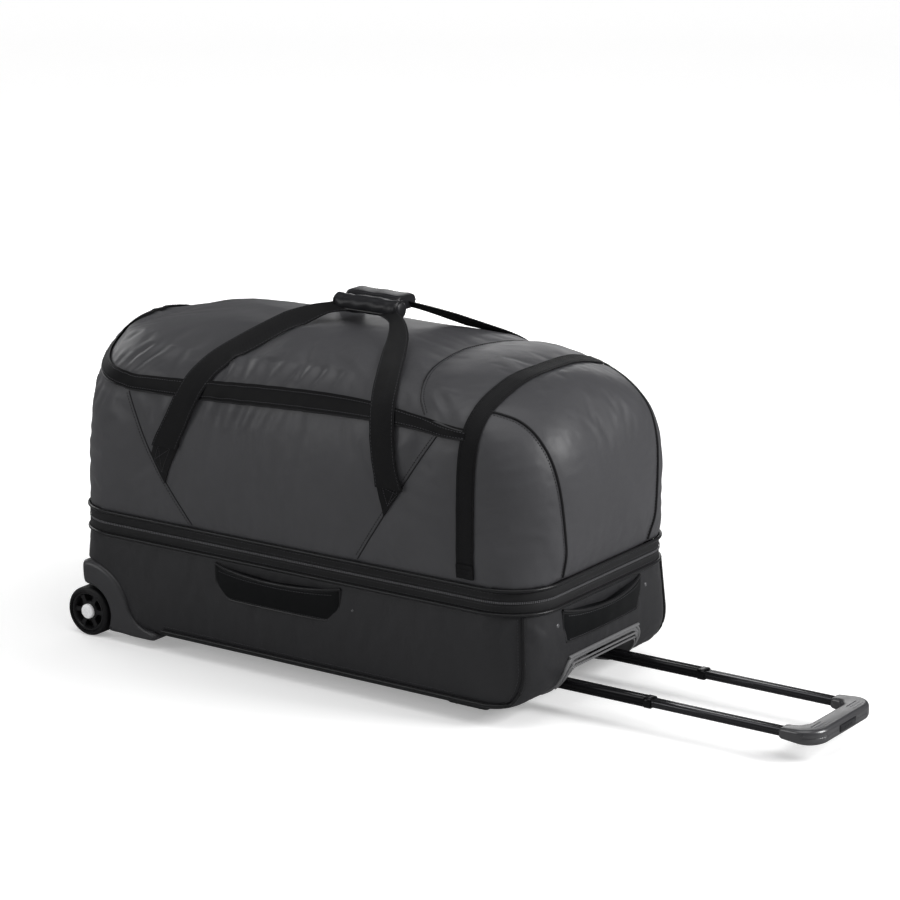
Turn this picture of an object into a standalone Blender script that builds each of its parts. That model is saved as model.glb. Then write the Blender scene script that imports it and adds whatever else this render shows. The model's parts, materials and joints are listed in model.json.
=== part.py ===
"""A wheeled drop-bottom duffel bag: a stiff lower case on two wheels, with a soft upper bag zipped on top.

+X points to the trolley-handle end, the wheels are at -X, +Y is the rear side that the upper bag is
hinged on, and +Z is up. Every piece is built about the bag's own middle on the floor. At the end the
whole is moved so that the origin is on the floor under the middle of its overall box, with the
trolley handle pulled out. Metres.
"""
from math import cos, pi, radians, sin, sqrt

import bmesh
import bpy
from mathutils import Matrix, Vector

# The whole bag
HALF_LENGTH = 0.370
HALF_WIDTH = 0.183
BOX_MIDDLE = (0.1754, -0.0040)
GAP = 0.0003
WALL = 0.003

# The lower case
CASE_REACH = 0.372
CASE_BOTTOM = 0.018
CASE_TOP = 0.150
CASE_END_RADIUS = 0.060
CASE_EDGE_RADIUS = 0.012
CASE_LOW_CORNER = 0.032
CASE_TOP_CORNER = 0.066
PIPING_RADIUS = 0.0023

# The zip band between the case and the upper bag
BAND_SPLIT = 0.166
BAND_TOP = 0.182
BAND_REACH = 0.3735
BAND_HALF_WIDTH = 0.1835
BAND_CORNER = 0.068

# The upper bag: a rounded block whose outline shrinks from the band to the crown
BAG_HALF_WIDTH = 0.186
BAG_RISE = 0.2366
BAG_CROWN = 0.021
BAG_SQUARENESS = 6.3
BAG_TUCK = 0.045
WHEEL_END_REACH = 0.385
WHEEL_END_LEAN = 0.020
WHEEL_END_POWER = 1.59
WHEEL_END_CORNERS = (0.100, 0.159)
HANDLE_END_REACH = 0.384
HANDLE_END_LEAN = 0.089
HANDLE_END_POWER = 1.50
HANDLE_END_CORNERS = (0.090, 0.136)
LID_EDGE_Z = 0.388
LID_HINGE_X = 0.252
LID_HINGE_Z = 0.434
FLAP_BOTTOM_Z = 0.362
END_STRAP_X = 0.281
END_STRAP_WIDTH = 0.026

# Carry handles
WEBBING_WIDTH = 0.037
WEBBING_THICK = 0.0022
HANDLE_PIVOT_Z = 0.2900
HANDLE_PIVOT_Y = 0.1935
WRAP_RADIUS = 0.0125

# Wheels
WHEEL_X = -0.344
WHEEL_RADIUS = 0.0344
WHEEL_OUTER_Y = 0.183
WHEEL_WIDTH = 0.024
TYRE_INNER = 0.0280
HUB_BORE = 0.0082
AXLE_RADIUS = 0.0040
FENDER_INNER = 0.0385
FENDER_OUTER = 0.0730
FENDER_FACE_Y = 0.187
FENDER_BACK_Y = 0.151

# Trolley handle: rounded tubes inside one another, (width, height) outside
TROLLEY_Y = 0.067
TROLLEY_Z = 0.034
FIXED_TUBE = (0.0220, 0.0160)
LOWER_TUBE = (0.0190, 0.0130)
UPPER_TUBE = (0.0164, 0.0104)
TUBE_WALL = 0.0012
FIXED_TUBE_X = (-0.200, 0.2970)
LOWER_TUBE_X = (0.190, 0.4780)
COLLAR_LENGTH = 0.0100
UPPER_TUBE_X = (0.430, 0.6900)
POCKET_BACK_X = 0.300
POCKET_HALF_WIDTH = 0.083
BEZEL_HALF_WIDTH = 0.090
BEZEL_TOP = 0.077
BEZEL_END_X = 0.374
GRIP_X = (0.672, 0.728)
GRIP_HALF_WIDTH = 0.081
GRIP_THICK = 0.020
GRIP_BAR = 0.030
BUTTON_WIDTH = 0.042
BUTTON_HEIGHT = 0.0085

# Grab handles: (half length, height) and where their stitched lower edges run
GRAB_FRONT = (0.099, 0.046)
GRAB_FRONT_X = -0.017
GRAB_FRONT_Z = 0.095
GRAB_END = (0.090, 0.044)
GRAB_END_Y = -0.008
GRAB_END_Z = 0.099
GRAB_BOW = 0.012

# (colour, roughness, metallic) of each kind of material
COATED_CLOTH = ((0.055, 0.055, 0.060), 0.48, 0.0)
CASE_CLOTH = ((0.024, 0.024, 0.026), 0.50, 0.0)
WEBBING = ((0.010, 0.010, 0.012), 0.80, 0.0)
PIPING = ((0.020, 0.020, 0.022), 0.35, 0.0)
HARD_PLASTIC = ((0.045, 0.045, 0.048), 0.45, 0.0)
BEZEL_PLASTIC = ((0.090, 0.090, 0.093), 0.40, 0.0)
BLACK_TUBE = ((0.006, 0.006, 0.007), 0.22, 0.6)
STEEL = ((0.550, 0.550, 0.560), 0.30, 1.0)
TYRE_RUBBER = ((0.009, 0.009, 0.010), 0.60, 0.0)
HUB_SILVER = ((0.820, 0.820, 0.830), 0.35, 0.0)
BOARD = ((0.060, 0.058, 0.055), 0.70, 0.0)


def collection(name):
    made = bpy.data.collections.new(name)
    bpy.context.scene.collection.children.link(made)
    return made


for old in list(bpy.data.objects):
    bpy.data.objects.remove(old, do_unlink=True)
PARTS = collection("rolling_duffel_bag")
CUTTERS = collection("cutters")


def material(name, finish):
    colour, roughness, metallic = finish
    made = bpy.data.materials.new(name + "_material")
    made.use_nodes = True
    shader = made.node_tree.nodes["Principled BSDF"]
    shader.inputs["Base Color"].default_value = (*colour, 1.0)
    shader.inputs["Roughness"].default_value = roughness
    shader.inputs["Metallic"].default_value = metallic
    return made


def pivot(name, place):
    """An empty on a joint's axis, which the moving pieces are parented to."""
    made = bpy.data.objects.new("pivot_" + name, None)
    made.location = place
    PARTS.objects.link(made)
    bpy.context.view_layer.update()
    return made


def finish_object(mesh, name, finish, parent=None, smooth=True):
    mesh.name = name
    if smooth:
        mesh.shade_smooth()
        mesh.set_sharp_from_angle(angle=radians(35))
    mesh.materials.clear()
    mesh.materials.append(material(name, finish))
    made = bpy.data.objects.new(name, mesh)
    PARTS.objects.link(made)
    if parent is not None:
        made.parent = parent
        made.matrix_parent_inverse = parent.matrix_world.inverted()
    return made


def cutter(mesh, name):
    mesh.name = name
    made = bpy.data.objects.new(name, mesh)
    made.hide_render = True
    made.display_type = "WIRE"
    CUTTERS.objects.link(made)
    return made


def boolean(piece, tool, operation="DIFFERENCE"):
    made = piece.modifiers.new(operation.lower() + "_" + tool.name, "BOOLEAN")
    made.operation = operation
    made.object = tool
    made.solver = "EXACT"


def bevel(piece, width, segments=2):
    made = piece.modifiers.new("rounded_edges", "BEVEL")
    made.width = width
    made.segments = segments
    made.limit_method = "ANGLE"
    made.angle_limit = radians(40)


def mesh_from(build):
    """A new mesh filled in by build(bm)."""
    bm = bmesh.new()
    build(bm)
    bmesh.ops.recalc_face_normals(bm, faces=bm.faces)
    mesh = bpy.data.meshes.new("mesh")
    bm.to_mesh(mesh)
    bm.free()
    return mesh


def box(low, high):
    """A box between two corners."""
    low, high = Vector(low), Vector(high)
    place = Matrix.Translation((low + high) / 2) @ Matrix.Diagonal((*(high - low), 1.0))
    return mesh_from(lambda bm: bmesh.ops.create_cube(bm, size=1.0, matrix=place))


def cylinder(centre, axis, radius, length, sides=24):
    turn = Vector((0, 0, 1)).rotation_difference(Vector(axis)).to_matrix().to_4x4()
    place = Matrix.Translation(centre) @ turn
    return mesh_from(
        lambda bm: bmesh.ops.create_cone(
            bm, cap_ends=True, segments=sides, radius1=radius, radius2=radius,
            depth=length, matrix=place,
        )
    )


def turned(profile, centre, axis, sides=28):
    """A closed (radius, along) profile turned round an axis into a ring."""
    turn = Vector((0, 0, 1)).rotation_difference(Vector(axis)).to_matrix()

    def build(bm):
        rows = []
        for k in range(sides):
            angle = 2 * pi * k / sides
            rows.append([
                bm.verts.new(Vector(centre) + turn @ Vector((r * cos(angle), r * sin(angle), h)))
                for r, h in profile
            ])
        join_rows(bm, rows, closed_rows=True, closed_columns=True)

    return mesh_from(build)


def join_rows(bm, rows, closed_rows=False, closed_columns=False):
    """Faces between neighbouring rows of vertices."""
    count, width = len(rows), len(rows[0])
    for i in range(count if closed_rows else count - 1):
        for j in range(width if closed_columns else width - 1):
            a, b = rows[i], rows[(i + 1) % count]
            bm.faces.new((a[j], a[(j + 1) % width], b[(j + 1) % width], b[j]))


def flat_outline(outlines, depth, place):
    """Closed outlines, the later ones holes, extruded to a depth about their plane."""
    curve = bpy.data.curves.new("outline", "CURVE")
    curve.dimensions = "2D"
    curve.fill_mode = "BOTH"
    curve.extrude = depth / 2
    for points in outlines:
        spline = curve.splines.new("POLY")
        spline.points.add(len(points) - 1)
        for target, (u, v) in zip(spline.points, points):
            target.co = (u, v, 0, 1)
        spline.use_cyclic_u = True
    return curve_mesh(curve, place)


def cord(points, radius, closed=False):
    """A round cord along points."""
    curve = bpy.data.curves.new("cord", "CURVE")
    curve.dimensions = "3D"
    curve.fill_mode = "FULL"
    curve.bevel_depth = radius
    curve.bevel_resolution = 1
    curve.use_fill_caps = not closed
    spline = curve.splines.new("POLY")
    spline.points.add(len(points) - 1)
    for target, point in zip(spline.points, points):
        target.co = (*point, 1)
    spline.use_cyclic_u = closed
    return curve_mesh(curve, Matrix.Identity(4))


def curve_mesh(curve, place):
    """The closed mesh of a curve, moved to its place; the curve is removed."""
    guide = bpy.data.objects.new("guide", curve)
    CUTTERS.objects.link(guide)
    bpy.context.view_layer.update()
    mesh = bpy.data.meshes.new_from_object(
        guide.evaluated_get(bpy.context.evaluated_depsgraph_get())
    )
    bpy.data.objects.remove(guide, do_unlink=True)
    bm = bmesh.new()
    bm.from_mesh(mesh)
    bmesh.ops.remove_doubles(bm, verts=bm.verts, dist=0.00001)
    bmesh.ops.transform(bm, matrix=place, verts=bm.verts)
    bmesh.ops.recalc_face_normals(bm, faces=bm.faces)
    bm.to_mesh(mesh)
    bm.free()
    return mesh


def looking_along_x(x, y=0.0, z=0.0):
    """Places an outline drawn in (y, z) so that it is extruded along X."""
    return Matrix.Translation((x, y, z)) @ Matrix(
        ((0, 0, 1, 0), (1, 0, 0, 0), (0, 1, 0, 0), (0, 0, 0, 1))
    )


def looking_along_y(y):
    """Places an outline drawn in (x, z) so that it is extruded along Y."""
    return Matrix(((1, 0, 0, 0), (0, 0, -1, y), (0, 1, 0, 0), (0, 0, 0, 1)))


def arc(centre, radius, start, end, steps):
    """Points of an arc in degrees, both ends included."""
    angles = [radians(start + (end - start) * k / steps) for k in range(steps + 1)]
    return [(centre[0] + radius * cos(a), centre[1] + radius * sin(a)) for a in angles]


def rounded_rectangle(half_u, half_v, radius, steps=4):
    points = []
    for start, (su, sv) in zip((0, 90, 180, 270), ((1, 1), (-1, 1), (-1, -1), (1, -1))):
        centre = (su * (half_u - radius), sv * (half_v - radius))
        points += arc(centre, radius, start, start + 90, steps)
    return points


def bag_outline(left, right, half_width, r_left, r_right, corner=5, side=8):
    """A plan outline from the handle end round by the rear to the wheel end, then back by the front."""
    half = [(right, 0.0)]
    half += arc((right - r_right, half_width - r_right), r_right, 0, 90, corner)
    start, end = right - r_right, r_left - left
    half += [(start + (end - start) * k / side, half_width) for k in range(1, side)]
    half += arc((r_left - left, half_width - r_left), r_left, 90, 180, corner)
    half += [(-left, 0.0)]
    return half + [(x, -y) for x, y in reversed(half[1:-1])]


def loft(rings, ridge=False):
    """A solid through rings of points. The last ring is closed flat, or along its middle as a ridge."""

    def build(bm):
        rows = [[bm.verts.new(point) for point in ring] for ring in rings]
        join_rows(bm, rows, closed_columns=True)
        bm.faces.new(rows[0])
        top, count = rows[-1], len(rows[-1])
        if not ridge:
            bm.faces.new(top)
            return
        half = count // 2
        bm.faces.new((top[-2], top[-1], top[0], top[1], top[2]))
        bm.faces.new(top[half - 2 : half + 3])
        for i in range(2, half - 2):
            bm.faces.new((top[i], top[i + 1], top[count - i - 1], top[count - i]))

    return mesh_from(build)


def skin(grid, gap, thick, closed=False):
    """A sheet over a grid of (point, normal) rows: it starts a gap off the surface."""

    def build(bm):
        low = [[bm.verts.new(p + n * gap) for p, n in row] for row in grid]
        high = [[bm.verts.new(p + n * (gap + thick)) for p, n in row] for row in grid]
        join_rows(bm, low, closed_rows=closed)
        join_rows(bm, high, closed_rows=closed)
        for column in (0, -1):
            join_rows(bm, [[a[column], b[column]] for a, b in zip(low, high)], closed_rows=closed)
        if not closed:
            for row in (0, -1):
                join_rows(bm, [low[row], high[row]])

    return mesh_from(build)


# The shape of the upper bag

def bag_level(phi, inset=0.0):
    """Rise, half width, left and right reach, left and right radius, and crown, at an angle up the side."""
    power = BAG_SQUARENESS
    across, up = max(cos(phi), 1e-6), max(sin(phi), 0.0)
    rho = (across ** power + up ** power) ** (-1 / power)
    c = (rho * across) ** (power / 2)
    s = (rho * up) ** (power / 2)
    rise = (BAG_RISE - inset) * rho * up
    share = min(rise / BAG_TUCK, 1.0)
    tuck = 1 - share * share * (3 - 2 * share)
    side = BAG_HALF_WIDTH + (BAND_HALF_WIDTH - BAG_HALF_WIDTH) * tuck
    half_width = (side - inset) * rho * across

    def reach(full, lean, power_):
        free = full - inset - lean * (1 - c ** (2 / power_))
        return free + (BAND_REACH - full) * tuck

    def corner(low, high):
        free = low + (high - low) * s - inset
        return min(free + (BAND_CORNER - low) * tuck, half_width * 0.96)

    left = reach(WHEEL_END_REACH, WHEEL_END_LEAN, WHEEL_END_POWER)
    right = reach(HANDLE_END_REACH, HANDLE_END_LEAN, HANDLE_END_POWER)
    r_left, r_right = corner(*WHEEL_END_CORNERS), corner(*HANDLE_END_CORNERS)
    return rise, half_width, left, right, r_left, r_right, BAG_CROWN * s * s


def crown_z(x, y, rise, crown):
    across = max(0.0, 1 - (x / HALF_LENGTH) ** 2)
    along = max(0.0, 1 - (y / BAG_HALF_WIDTH) ** 2)
    return BAND_TOP + rise + crown * across * along


def bag_ring(phi, inset=0.0):
    rise, half_width, left, right, r_left, r_right, crown = bag_level(phi, inset)
    outline = bag_outline(left, right, half_width, r_left, r_right)
    return [Vector((x, y, crown_z(x, y, rise, crown))) for x, y in outline]


def section_point(x, phi, side):
    """The bag's surface at a place along it and an angle up its front (side -1) or rear (side 1)."""
    rise, half_width, left, right, r_left, r_right, crown = bag_level(phi)
    into = max(x - (right - r_right), 0.0) or max(-x - (left - r_left), 0.0)
    radius = r_right if x > 0 else r_left
    y = half_width - radius + sqrt(max(radius ** 2 - into ** 2, 0.0))
    return Vector((x, side * y, crown_z(x, y, rise, crown)))


def phi_at(x, z):
    """The angle up the side at which the bag's surface reaches a height."""
    low, high = 0.0, pi / 2
    for _ in range(40):
        middle = (low + high) / 2
        low, high = (middle, high) if section_point(x, middle, 1).z < z else (low, middle)
    return (low + high) / 2


def surface(x, phi, side):
    """(point, outward normal) of the bag's surface."""
    step = 0.002
    here = section_point(x, phi, side)
    along = section_point(x + step, phi, side) - section_point(x - step, phi, side)
    up = section_point(x, phi + step, side) - section_point(x, phi - step, side)
    normal = along.cross(up).normalized()
    return here, normal if normal.y * side + normal.z > 0 else -normal


def dome_rings(inset=0.0):
    angles = [0, 3, 6.5, 10.5, 17, 25, 32, 37, 41, 44.5, 48.5, 54, 63, 75, 87]
    return [bag_ring(radians(a), inset) for a in angles]


def bag_dome():
    """The upper bag's whole skin, open underneath, from which the shell and the lid are cut."""
    inner = dome_rings(WALL)
    below = [Vector((p.x, p.y, BAND_TOP - 0.010)) for p in inner[0]]
    return loft(dome_rings(), ridge=True), loft([below, *inner], ridge=True)


# The shape of the lower case

def case_ring(z, inset=0.0):
    length = CASE_REACH - inset
    radius = CASE_END_RADIUS - inset
    drop = min(max(CASE_BOTTOM + CASE_END_RADIUS - z, 0.0), radius)
    reach = length - radius + sqrt(radius ** 2 - drop ** 2)
    edge = CASE_EDGE_RADIUS - inset
    drop = min(max(CASE_BOTTOM + CASE_EDGE_RADIUS - z, 0.0), edge)
    half_width = HALF_WIDTH - inset - edge + sqrt(edge ** 2 - drop ** 2)
    share = min(max((z - CASE_BOTTOM) / (CASE_TOP - CASE_BOTTOM), 0.0), 1.0)
    corner = CASE_LOW_CORNER + (CASE_TOP_CORNER - CASE_LOW_CORNER) * share - inset
    return [Vector((x, y, z)) for x, y in bag_outline(reach, reach, half_width, corner, corner, side=4)]


def case_block(inset=0.0, top=CASE_TOP):
    bottom = CASE_BOTTOM + inset
    rises = (0.0, 0.002, 0.006, 0.012, 0.022, 0.036, 0.050, 0.061)
    levels = [bottom + rise * (1 if inset >= 0 else 1.1) for rise in rises]
    return loft([case_ring(z, inset) for z in [*levels, top]])


def fender_outline(grow=0.0):
    """The wheel housing from the side: an arch over the wheel with a toe along the case's lower edge."""
    wheel = (WHEEL_X, WHEEL_RADIUS)
    points = arc(wheel, FENDER_OUTER + grow, 98, 10, 12)
    points += arc((-0.2345, 0.0640), 0.0400 - grow, 206, 272, 5)
    points += [(-0.2225 + grow, 0.0200), (-0.2260 + grow, 0.0120 - grow)]
    if grow:
        return points + [(-0.40, 0.0120 - grow), (-0.40, WHEEL_RADIUS + FENDER_OUTER + grow)]
    return points + arc(wheel, FENDER_INNER, -35.6, 102, 12)


def straight_tube(size, ends, wall, y):
    half_u, half_v = size[0] / 2, size[1] / 2
    outer = rounded_rectangle(half_u, half_v, 0.0045)
    inner = rounded_rectangle(half_u - wall, half_v - wall, 0.0045 - wall)
    middle = (ends[0] + ends[1]) / 2
    return flat_outline([outer, inner], ends[1] - ends[0], looking_along_x(middle, y, TROLLEY_Z))


# Pieces of the lower case

def make_case():
    shell = finish_object(case_block(), "case_shell", CASE_CLOTH)
    boolean(shell, cutter(case_block(WALL, CASE_TOP + 0.010), "case_hollow"))
    for label, side in (("front", -1), ("rear", 1)):
        depth = 0.060
        middle = side * (FENDER_BACK_Y - GAP + depth / 2)
        well = flat_outline([fender_outline(GAP)], depth, looking_along_y(middle))
        boolean(shell, cutter(well, "wheel_well_" + label))
    half = BEZEL_HALF_WIDTH + GAP
    notch = rounded_rectangle(half, 0.060, 0.020)
    depth = 0.120
    place = looking_along_x(POCKET_BACK_X - 0.0028 + depth / 2, 0, BEZEL_TOP + GAP - 0.060)
    boolean(shell, cutter(flat_outline([notch], depth, place), "handle_notch"))
    board = box((-0.296, -0.1480, 0.0440), (POCKET_BACK_X - 0.004, 0.1480, 0.0470))
    bevel(finish_object(board, "case_floor_board", BOARD), 0.001, 1)


def case_piping(side):
    """The cord round the long panel's edge, from the band down the handle end and along the bottom."""

    def at(z, turn):
        ring = case_ring(z)
        share = (z - CASE_BOTTOM) / (CASE_TOP - CASE_BOTTOM)
        corner = CASE_LOW_CORNER + (CASE_TOP_CORNER - CASE_LOW_CORNER) * share
        out = PIPING_RADIUS + 3 * GAP
        x = max(p.x for p in ring) - corner + (corner + out) * sin(radians(turn))
        y = max(p.y for p in ring) - corner + (corner + out) * cos(radians(turn))
        return Vector((x, side * y, z))

    down = [at(z, 46) for z in (0.1465, 0.120, 0.090, 0.074, 0.062, 0.052, 0.044, 0.037, 0.032)]
    round_corner = [at(0.0305, 34), at(0.0300, 22), at(0.0295, 10), at(0.0295, 0)]
    y, z = round_corner[-1].y, round_corner[-1].z
    flat = [Vector((x, y, z)) for x in (0.200, 0.060, -0.080, -0.2140)]
    return cord(down + round_corner + flat, PIPING_RADIUS)


def ring_cord(z):
    """The cord round the bag at an edge of the band."""
    points = [Vector((x, y, z)) for x, y in band_outline(PIPING_RADIUS + 2 * GAP)]
    return cord(points, PIPING_RADIUS, closed=True)


def band_outline(offset):
    reach, corner = BAND_REACH + offset, BAND_CORNER + offset
    return bag_outline(reach, reach, BAND_HALF_WIDTH + offset, corner, corner, corner=6, side=3)


def band(low, high):
    """One half of the zip: an upright tape that follows the bag's outline."""
    place = Matrix.Translation((0, 0, (low + high) / 2))
    return flat_outline([band_outline(0), band_outline(-WALL)], high - low, place)


def make_case_trim():
    for label, side in (("front", -1), ("rear", 1)):
        finish_object(case_piping(side), "case_piping_" + label, PIPING)
    finish_object(ring_cord(CASE_TOP), "case_top_piping", PIPING)
    finish_object(band(CASE_TOP + GAP, BAND_SPLIT - GAP), "lower_zip_tape", WEBBING)
    y = BAND_HALF_WIDTH + GAP
    tape = box((-0.280, y, CASE_TOP + 0.0033), (0.280, y + 0.0012, BAND_SPLIT - 0.0006))
    finish_object(tape, "rear_hinge_tape", WEBBING, smooth=False)


def make_housing(label, side):
    """A moulded housing over each wheel, with the wall that holds the axle."""
    thick = FENDER_FACE_Y - FENDER_BACK_Y
    middle = side * (FENDER_FACE_Y + FENDER_BACK_Y) / 2
    mesh = flat_outline([fender_outline()], thick, looking_along_y(middle))
    housing = finish_object(mesh, "wheel_housing_" + label, HARD_PLASTIC)
    wall_thick = 0.005
    wall = cylinder(
        (WHEEL_X + 0.004, side * (FENDER_BACK_Y + wall_thick / 2), WHEEL_RADIUS + 0.014),
        (0, 1, 0), 0.030, wall_thick, 32,
    )
    boolean(housing, cutter(wall, "axle_wall_" + label), "UNION")
    hole = cylinder(
        (WHEEL_X, side * FENDER_BACK_Y, WHEEL_RADIUS), (0, 1, 0), AXLE_RADIUS + GAP, 0.040, 20
    )
    boolean(housing, cutter(hole, "axle_hole_" + label))
    start, neck, end = FENDER_BACK_Y + 0.0002, WHEEL_OUTER_Y - 0.0067, WHEEL_OUTER_Y - 0.0045
    profile = [(0.0, start), (AXLE_RADIUS, start), (AXLE_RADIUS, neck), (0.0076, neck),
               (0.0076, end), (0.0, end)]
    bolt = turned_solid(profile, (WHEEL_X, 0, WHEEL_RADIUS), (0, side, 0))
    finish_object(bolt, "wheel_axle_" + label, STEEL)


def turned_solid(profile, centre, axis, sides=20):
    """A profile that starts and ends on its axis, turned into a solid."""
    turn = Vector((0, 0, 1)).rotation_difference(Vector(axis)).to_matrix()

    def build(bm):
        ends = [bm.verts.new(Vector(centre) + turn @ Vector((0, 0, h))) for h in
                (profile[0][1], profile[-1][1])]
        rows = []
        for k in range(sides):
            angle = 2 * pi * k / sides
            rows.append([
                bm.verts.new(Vector(centre) + turn @ Vector((r * cos(angle), r * sin(angle), h)))
                for r, h in profile[1:-1]
            ])
        join_rows(bm, rows, closed_rows=True)
        for k in range(sides):
            bm.faces.new((ends[0], rows[k][0], rows[(k + 1) % sides][0]))
            bm.faces.new((ends[1], rows[k][-1], rows[(k + 1) % sides][-1]))

    return mesh_from(build)


def make_wheel(label, side):
    """Tyre, spoked rim, bearing and hub cap, turning together on the axle."""
    hub = Vector((WHEEL_X, side * (WHEEL_OUTER_Y - WHEEL_WIDTH / 2), WHEEL_RADIUS))
    turning = pivot("wheel_" + label, hub)
    out = (0, side, 0)
    half = WHEEL_WIDTH / 2
    edge = 0.004
    tread = [(TYRE_INNER, -half + 0.001), (WHEEL_RADIUS - edge, -half), (WHEEL_RADIUS, -half + edge),
             (WHEEL_RADIUS, half - edge), (WHEEL_RADIUS - edge, half), (TYRE_INNER, half - 0.001)]
    finish_object(turned(tread, hub, out), "tyre_" + label, TYRE_RUBBER, turning)
    rim_outer = TYRE_INNER - GAP
    bore = HUB_BORE + GAP
    seat = 0.0125
    face = half - 0.0020
    rim_profile = [(bore, -face), (rim_outer, -face), (rim_outer, face), (seat, face),
                   (seat, face - 0.0020), (bore, face - 0.0020)]
    rim = finish_object(turned(rim_profile, hub, out), "rim_" + label, HARD_PLASTIC, turning)
    for k in range(6):
        angle = radians(60 * k + 30)
        centre = hub + Vector((0.0200 * cos(angle), 0, 0.0200 * sin(angle)))
        hole = cylinder(centre, (0, 1, 0), 0.0046, WHEEL_WIDTH * 2, 10)
        boolean(rim, cutter(hole, f"rim_window_{label}_{k}"))
    ring = [(AXLE_RADIUS + 0.0001, -0.0080), (HUB_BORE, -0.0080), (HUB_BORE, 0.0050),
            (AXLE_RADIUS + 0.0001, 0.0050)]
    finish_object(turned(ring, hub, out, 24), "wheel_bearing_" + label, STEEL, turning)
    cap = [(0.0, face - 0.0016), (0.0121, face - 0.0016), (0.0121, face + 0.0004),
           (0.0100, face + 0.0018), (0.0, face + 0.0022)]
    finish_object(turned_solid(cap, hub, out, 28), "hub_cap_" + label, HUB_SILVER, turning)


def make_feet():
    for label, side in (("front", -1), ("rear", 1)):
        x, y = 0.250, side * 0.125
        low, high = (x - 0.035, y - 0.014, 0.0), (x + 0.035, y + 0.014, CASE_BOTTOM - GAP)
        bevel(finish_object(box(low, high), "foot_" + label, HARD_PLASTIC), 0.004)


def make_rivets():
    spots = {
        "front_handle_rivet_left": ((-0.134, -HALF_WIDTH, 0.118), (0, -1, 0)),
        "front_handle_rivet_right": ((0.104, -HALF_WIDTH, 0.116), (0, -1, 0)),
        "end_handle_rivet_front": ((CASE_REACH, -0.114, 0.126), (1, 0, 0)),
        "end_handle_rivet_rear": ((CASE_REACH, 0.099, 0.126), (1, 0, 0)),
    }
    head = [(0.0, GAP), (0.0055, GAP), (0.0055, 0.0012), (0.0038, 0.0026), (0.0, 0.0030)]
    for name, (place, out) in spots.items():
        finish_object(turned_solid(head, place, out, 16), name, STEEL)


def make_bezel():
    """The moulded surround of the trolley handle, with a pocket that the grip parks in."""
    depth = BEZEL_END_X + 0.010 - (POCKET_BACK_X - 0.0025)
    start = POCKET_BACK_X - 0.0025
    place = looking_along_x(start + depth / 2, 0, BEZEL_TOP - 0.060)
    body = flat_outline([rounded_rectangle(BEZEL_HALF_WIDTH, 0.060, 0.020)], depth, place)
    bezel = finish_object(body, "handle_bezel", BEZEL_PLASTIC)
    boolean(bezel, cutter(case_block(-0.0022, CASE_TOP), "case_skin"), "INTERSECT")

    def pocket_ring(x, roof):
        outline = rounded_rectangle(POCKET_HALF_WIDTH, 0.060, 0.016)
        return [Vector((x, y, z + roof - 0.060)) for y, z in outline]

    pocket = loft([pocket_ring(POCKET_BACK_X, 0.0560), pocket_ring(BEZEL_END_X + 0.020, 0.0740)])
    boolean(bezel, cutter(pocket, "handle_pocket"))
    for label, side in (("front", -1), ("rear", 1)):
        half_u, half_v = LOWER_TUBE[0] / 2 + GAP, LOWER_TUBE[1] / 2 + GAP
        place = looking_along_x(POCKET_BACK_X, side * TROLLEY_Y, TROLLEY_Z)
        hole = flat_outline([rounded_rectangle(half_u, half_v, 0.0048)], 0.040, place)
        boolean(bezel, cutter(hole, "tube_hole_" + label))


# The trolley handle

def make_trolley():
    lower = pivot("trolley_lower", (0.0, 0.0, TROLLEY_Z))
    upper = pivot("trolley_upper", (0.0, 0.0, TROLLEY_Z))
    press = pivot("grip_button", (GRIP_X[1], 0.0, TROLLEY_Z))
    low, high = (-0.2150, -0.088, 0.0235), (FIXED_TUBE_X[0] - GAP, 0.088, 0.0430)
    bevel(finish_object(box(low, high), "trolley_base_bracket", HARD_PLASTIC), 0.003)
    for label, side in (("front", -1), ("rear", 1)):
        y = side * TROLLEY_Y
        fixed = straight_tube(FIXED_TUBE, FIXED_TUBE_X, TUBE_WALL, y)
        finish_object(fixed, "trolley_outer_tube_" + label, STEEL)
        sliding = straight_tube(LOWER_TUBE, LOWER_TUBE_X, 0.0010, y)
        finish_object(sliding, "trolley_lower_tube_" + label, BLACK_TUBE, lower)
        start = LOWER_TUBE_X[1] + GAP
        collar = straight_tube((0.0200, 0.0140), (start, start + COLLAR_LENGTH), 0.0015, y)
        finish_object(collar, "tube_collar_" + label, HARD_PLASTIC, lower)
        inner = straight_tube(UPPER_TUBE, UPPER_TUBE_X, 0.0010, y)
        finish_object(inner, "trolley_upper_tube_" + label, BLACK_TUBE, upper)
        rod_ends = (UPPER_TUBE_X[0] + 0.010, GRIP_X[0] + 0.0380)
        middle = ((rod_ends[0] + rod_ends[1]) / 2, y, TROLLEY_Z)
        rod = cylinder(middle, (1, 0, 0), 0.0018, rod_ends[1] - rod_ends[0], 12)
        finish_object(rod, "lock_rod_" + label, STEEL, press)
    make_grip(upper, press)


def grip_outline():
    """A U from above: two legs and a bar with rounded outer and inner corners."""
    leg_end, far = GRIP_X
    half, inner = GRIP_HALF_WIDTH, GRIP_HALF_WIDTH - 0.028
    near = far - GRIP_BAR
    points = [(leg_end, -half)]
    points += arc((far - 0.032, -half + 0.032), 0.032, 270, 360, 6)
    points += arc((far - 0.032, half - 0.032), 0.032, 0, 90, 6)
    points += [(leg_end, half), (leg_end, inner)]
    points += arc((near - 0.014, inner - 0.014), 0.014, 90, 0, 4)
    points += arc((near - 0.014, -inner + 0.014), 0.014, 0, -90, 4)
    return points + [(leg_end, -inner)]


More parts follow.
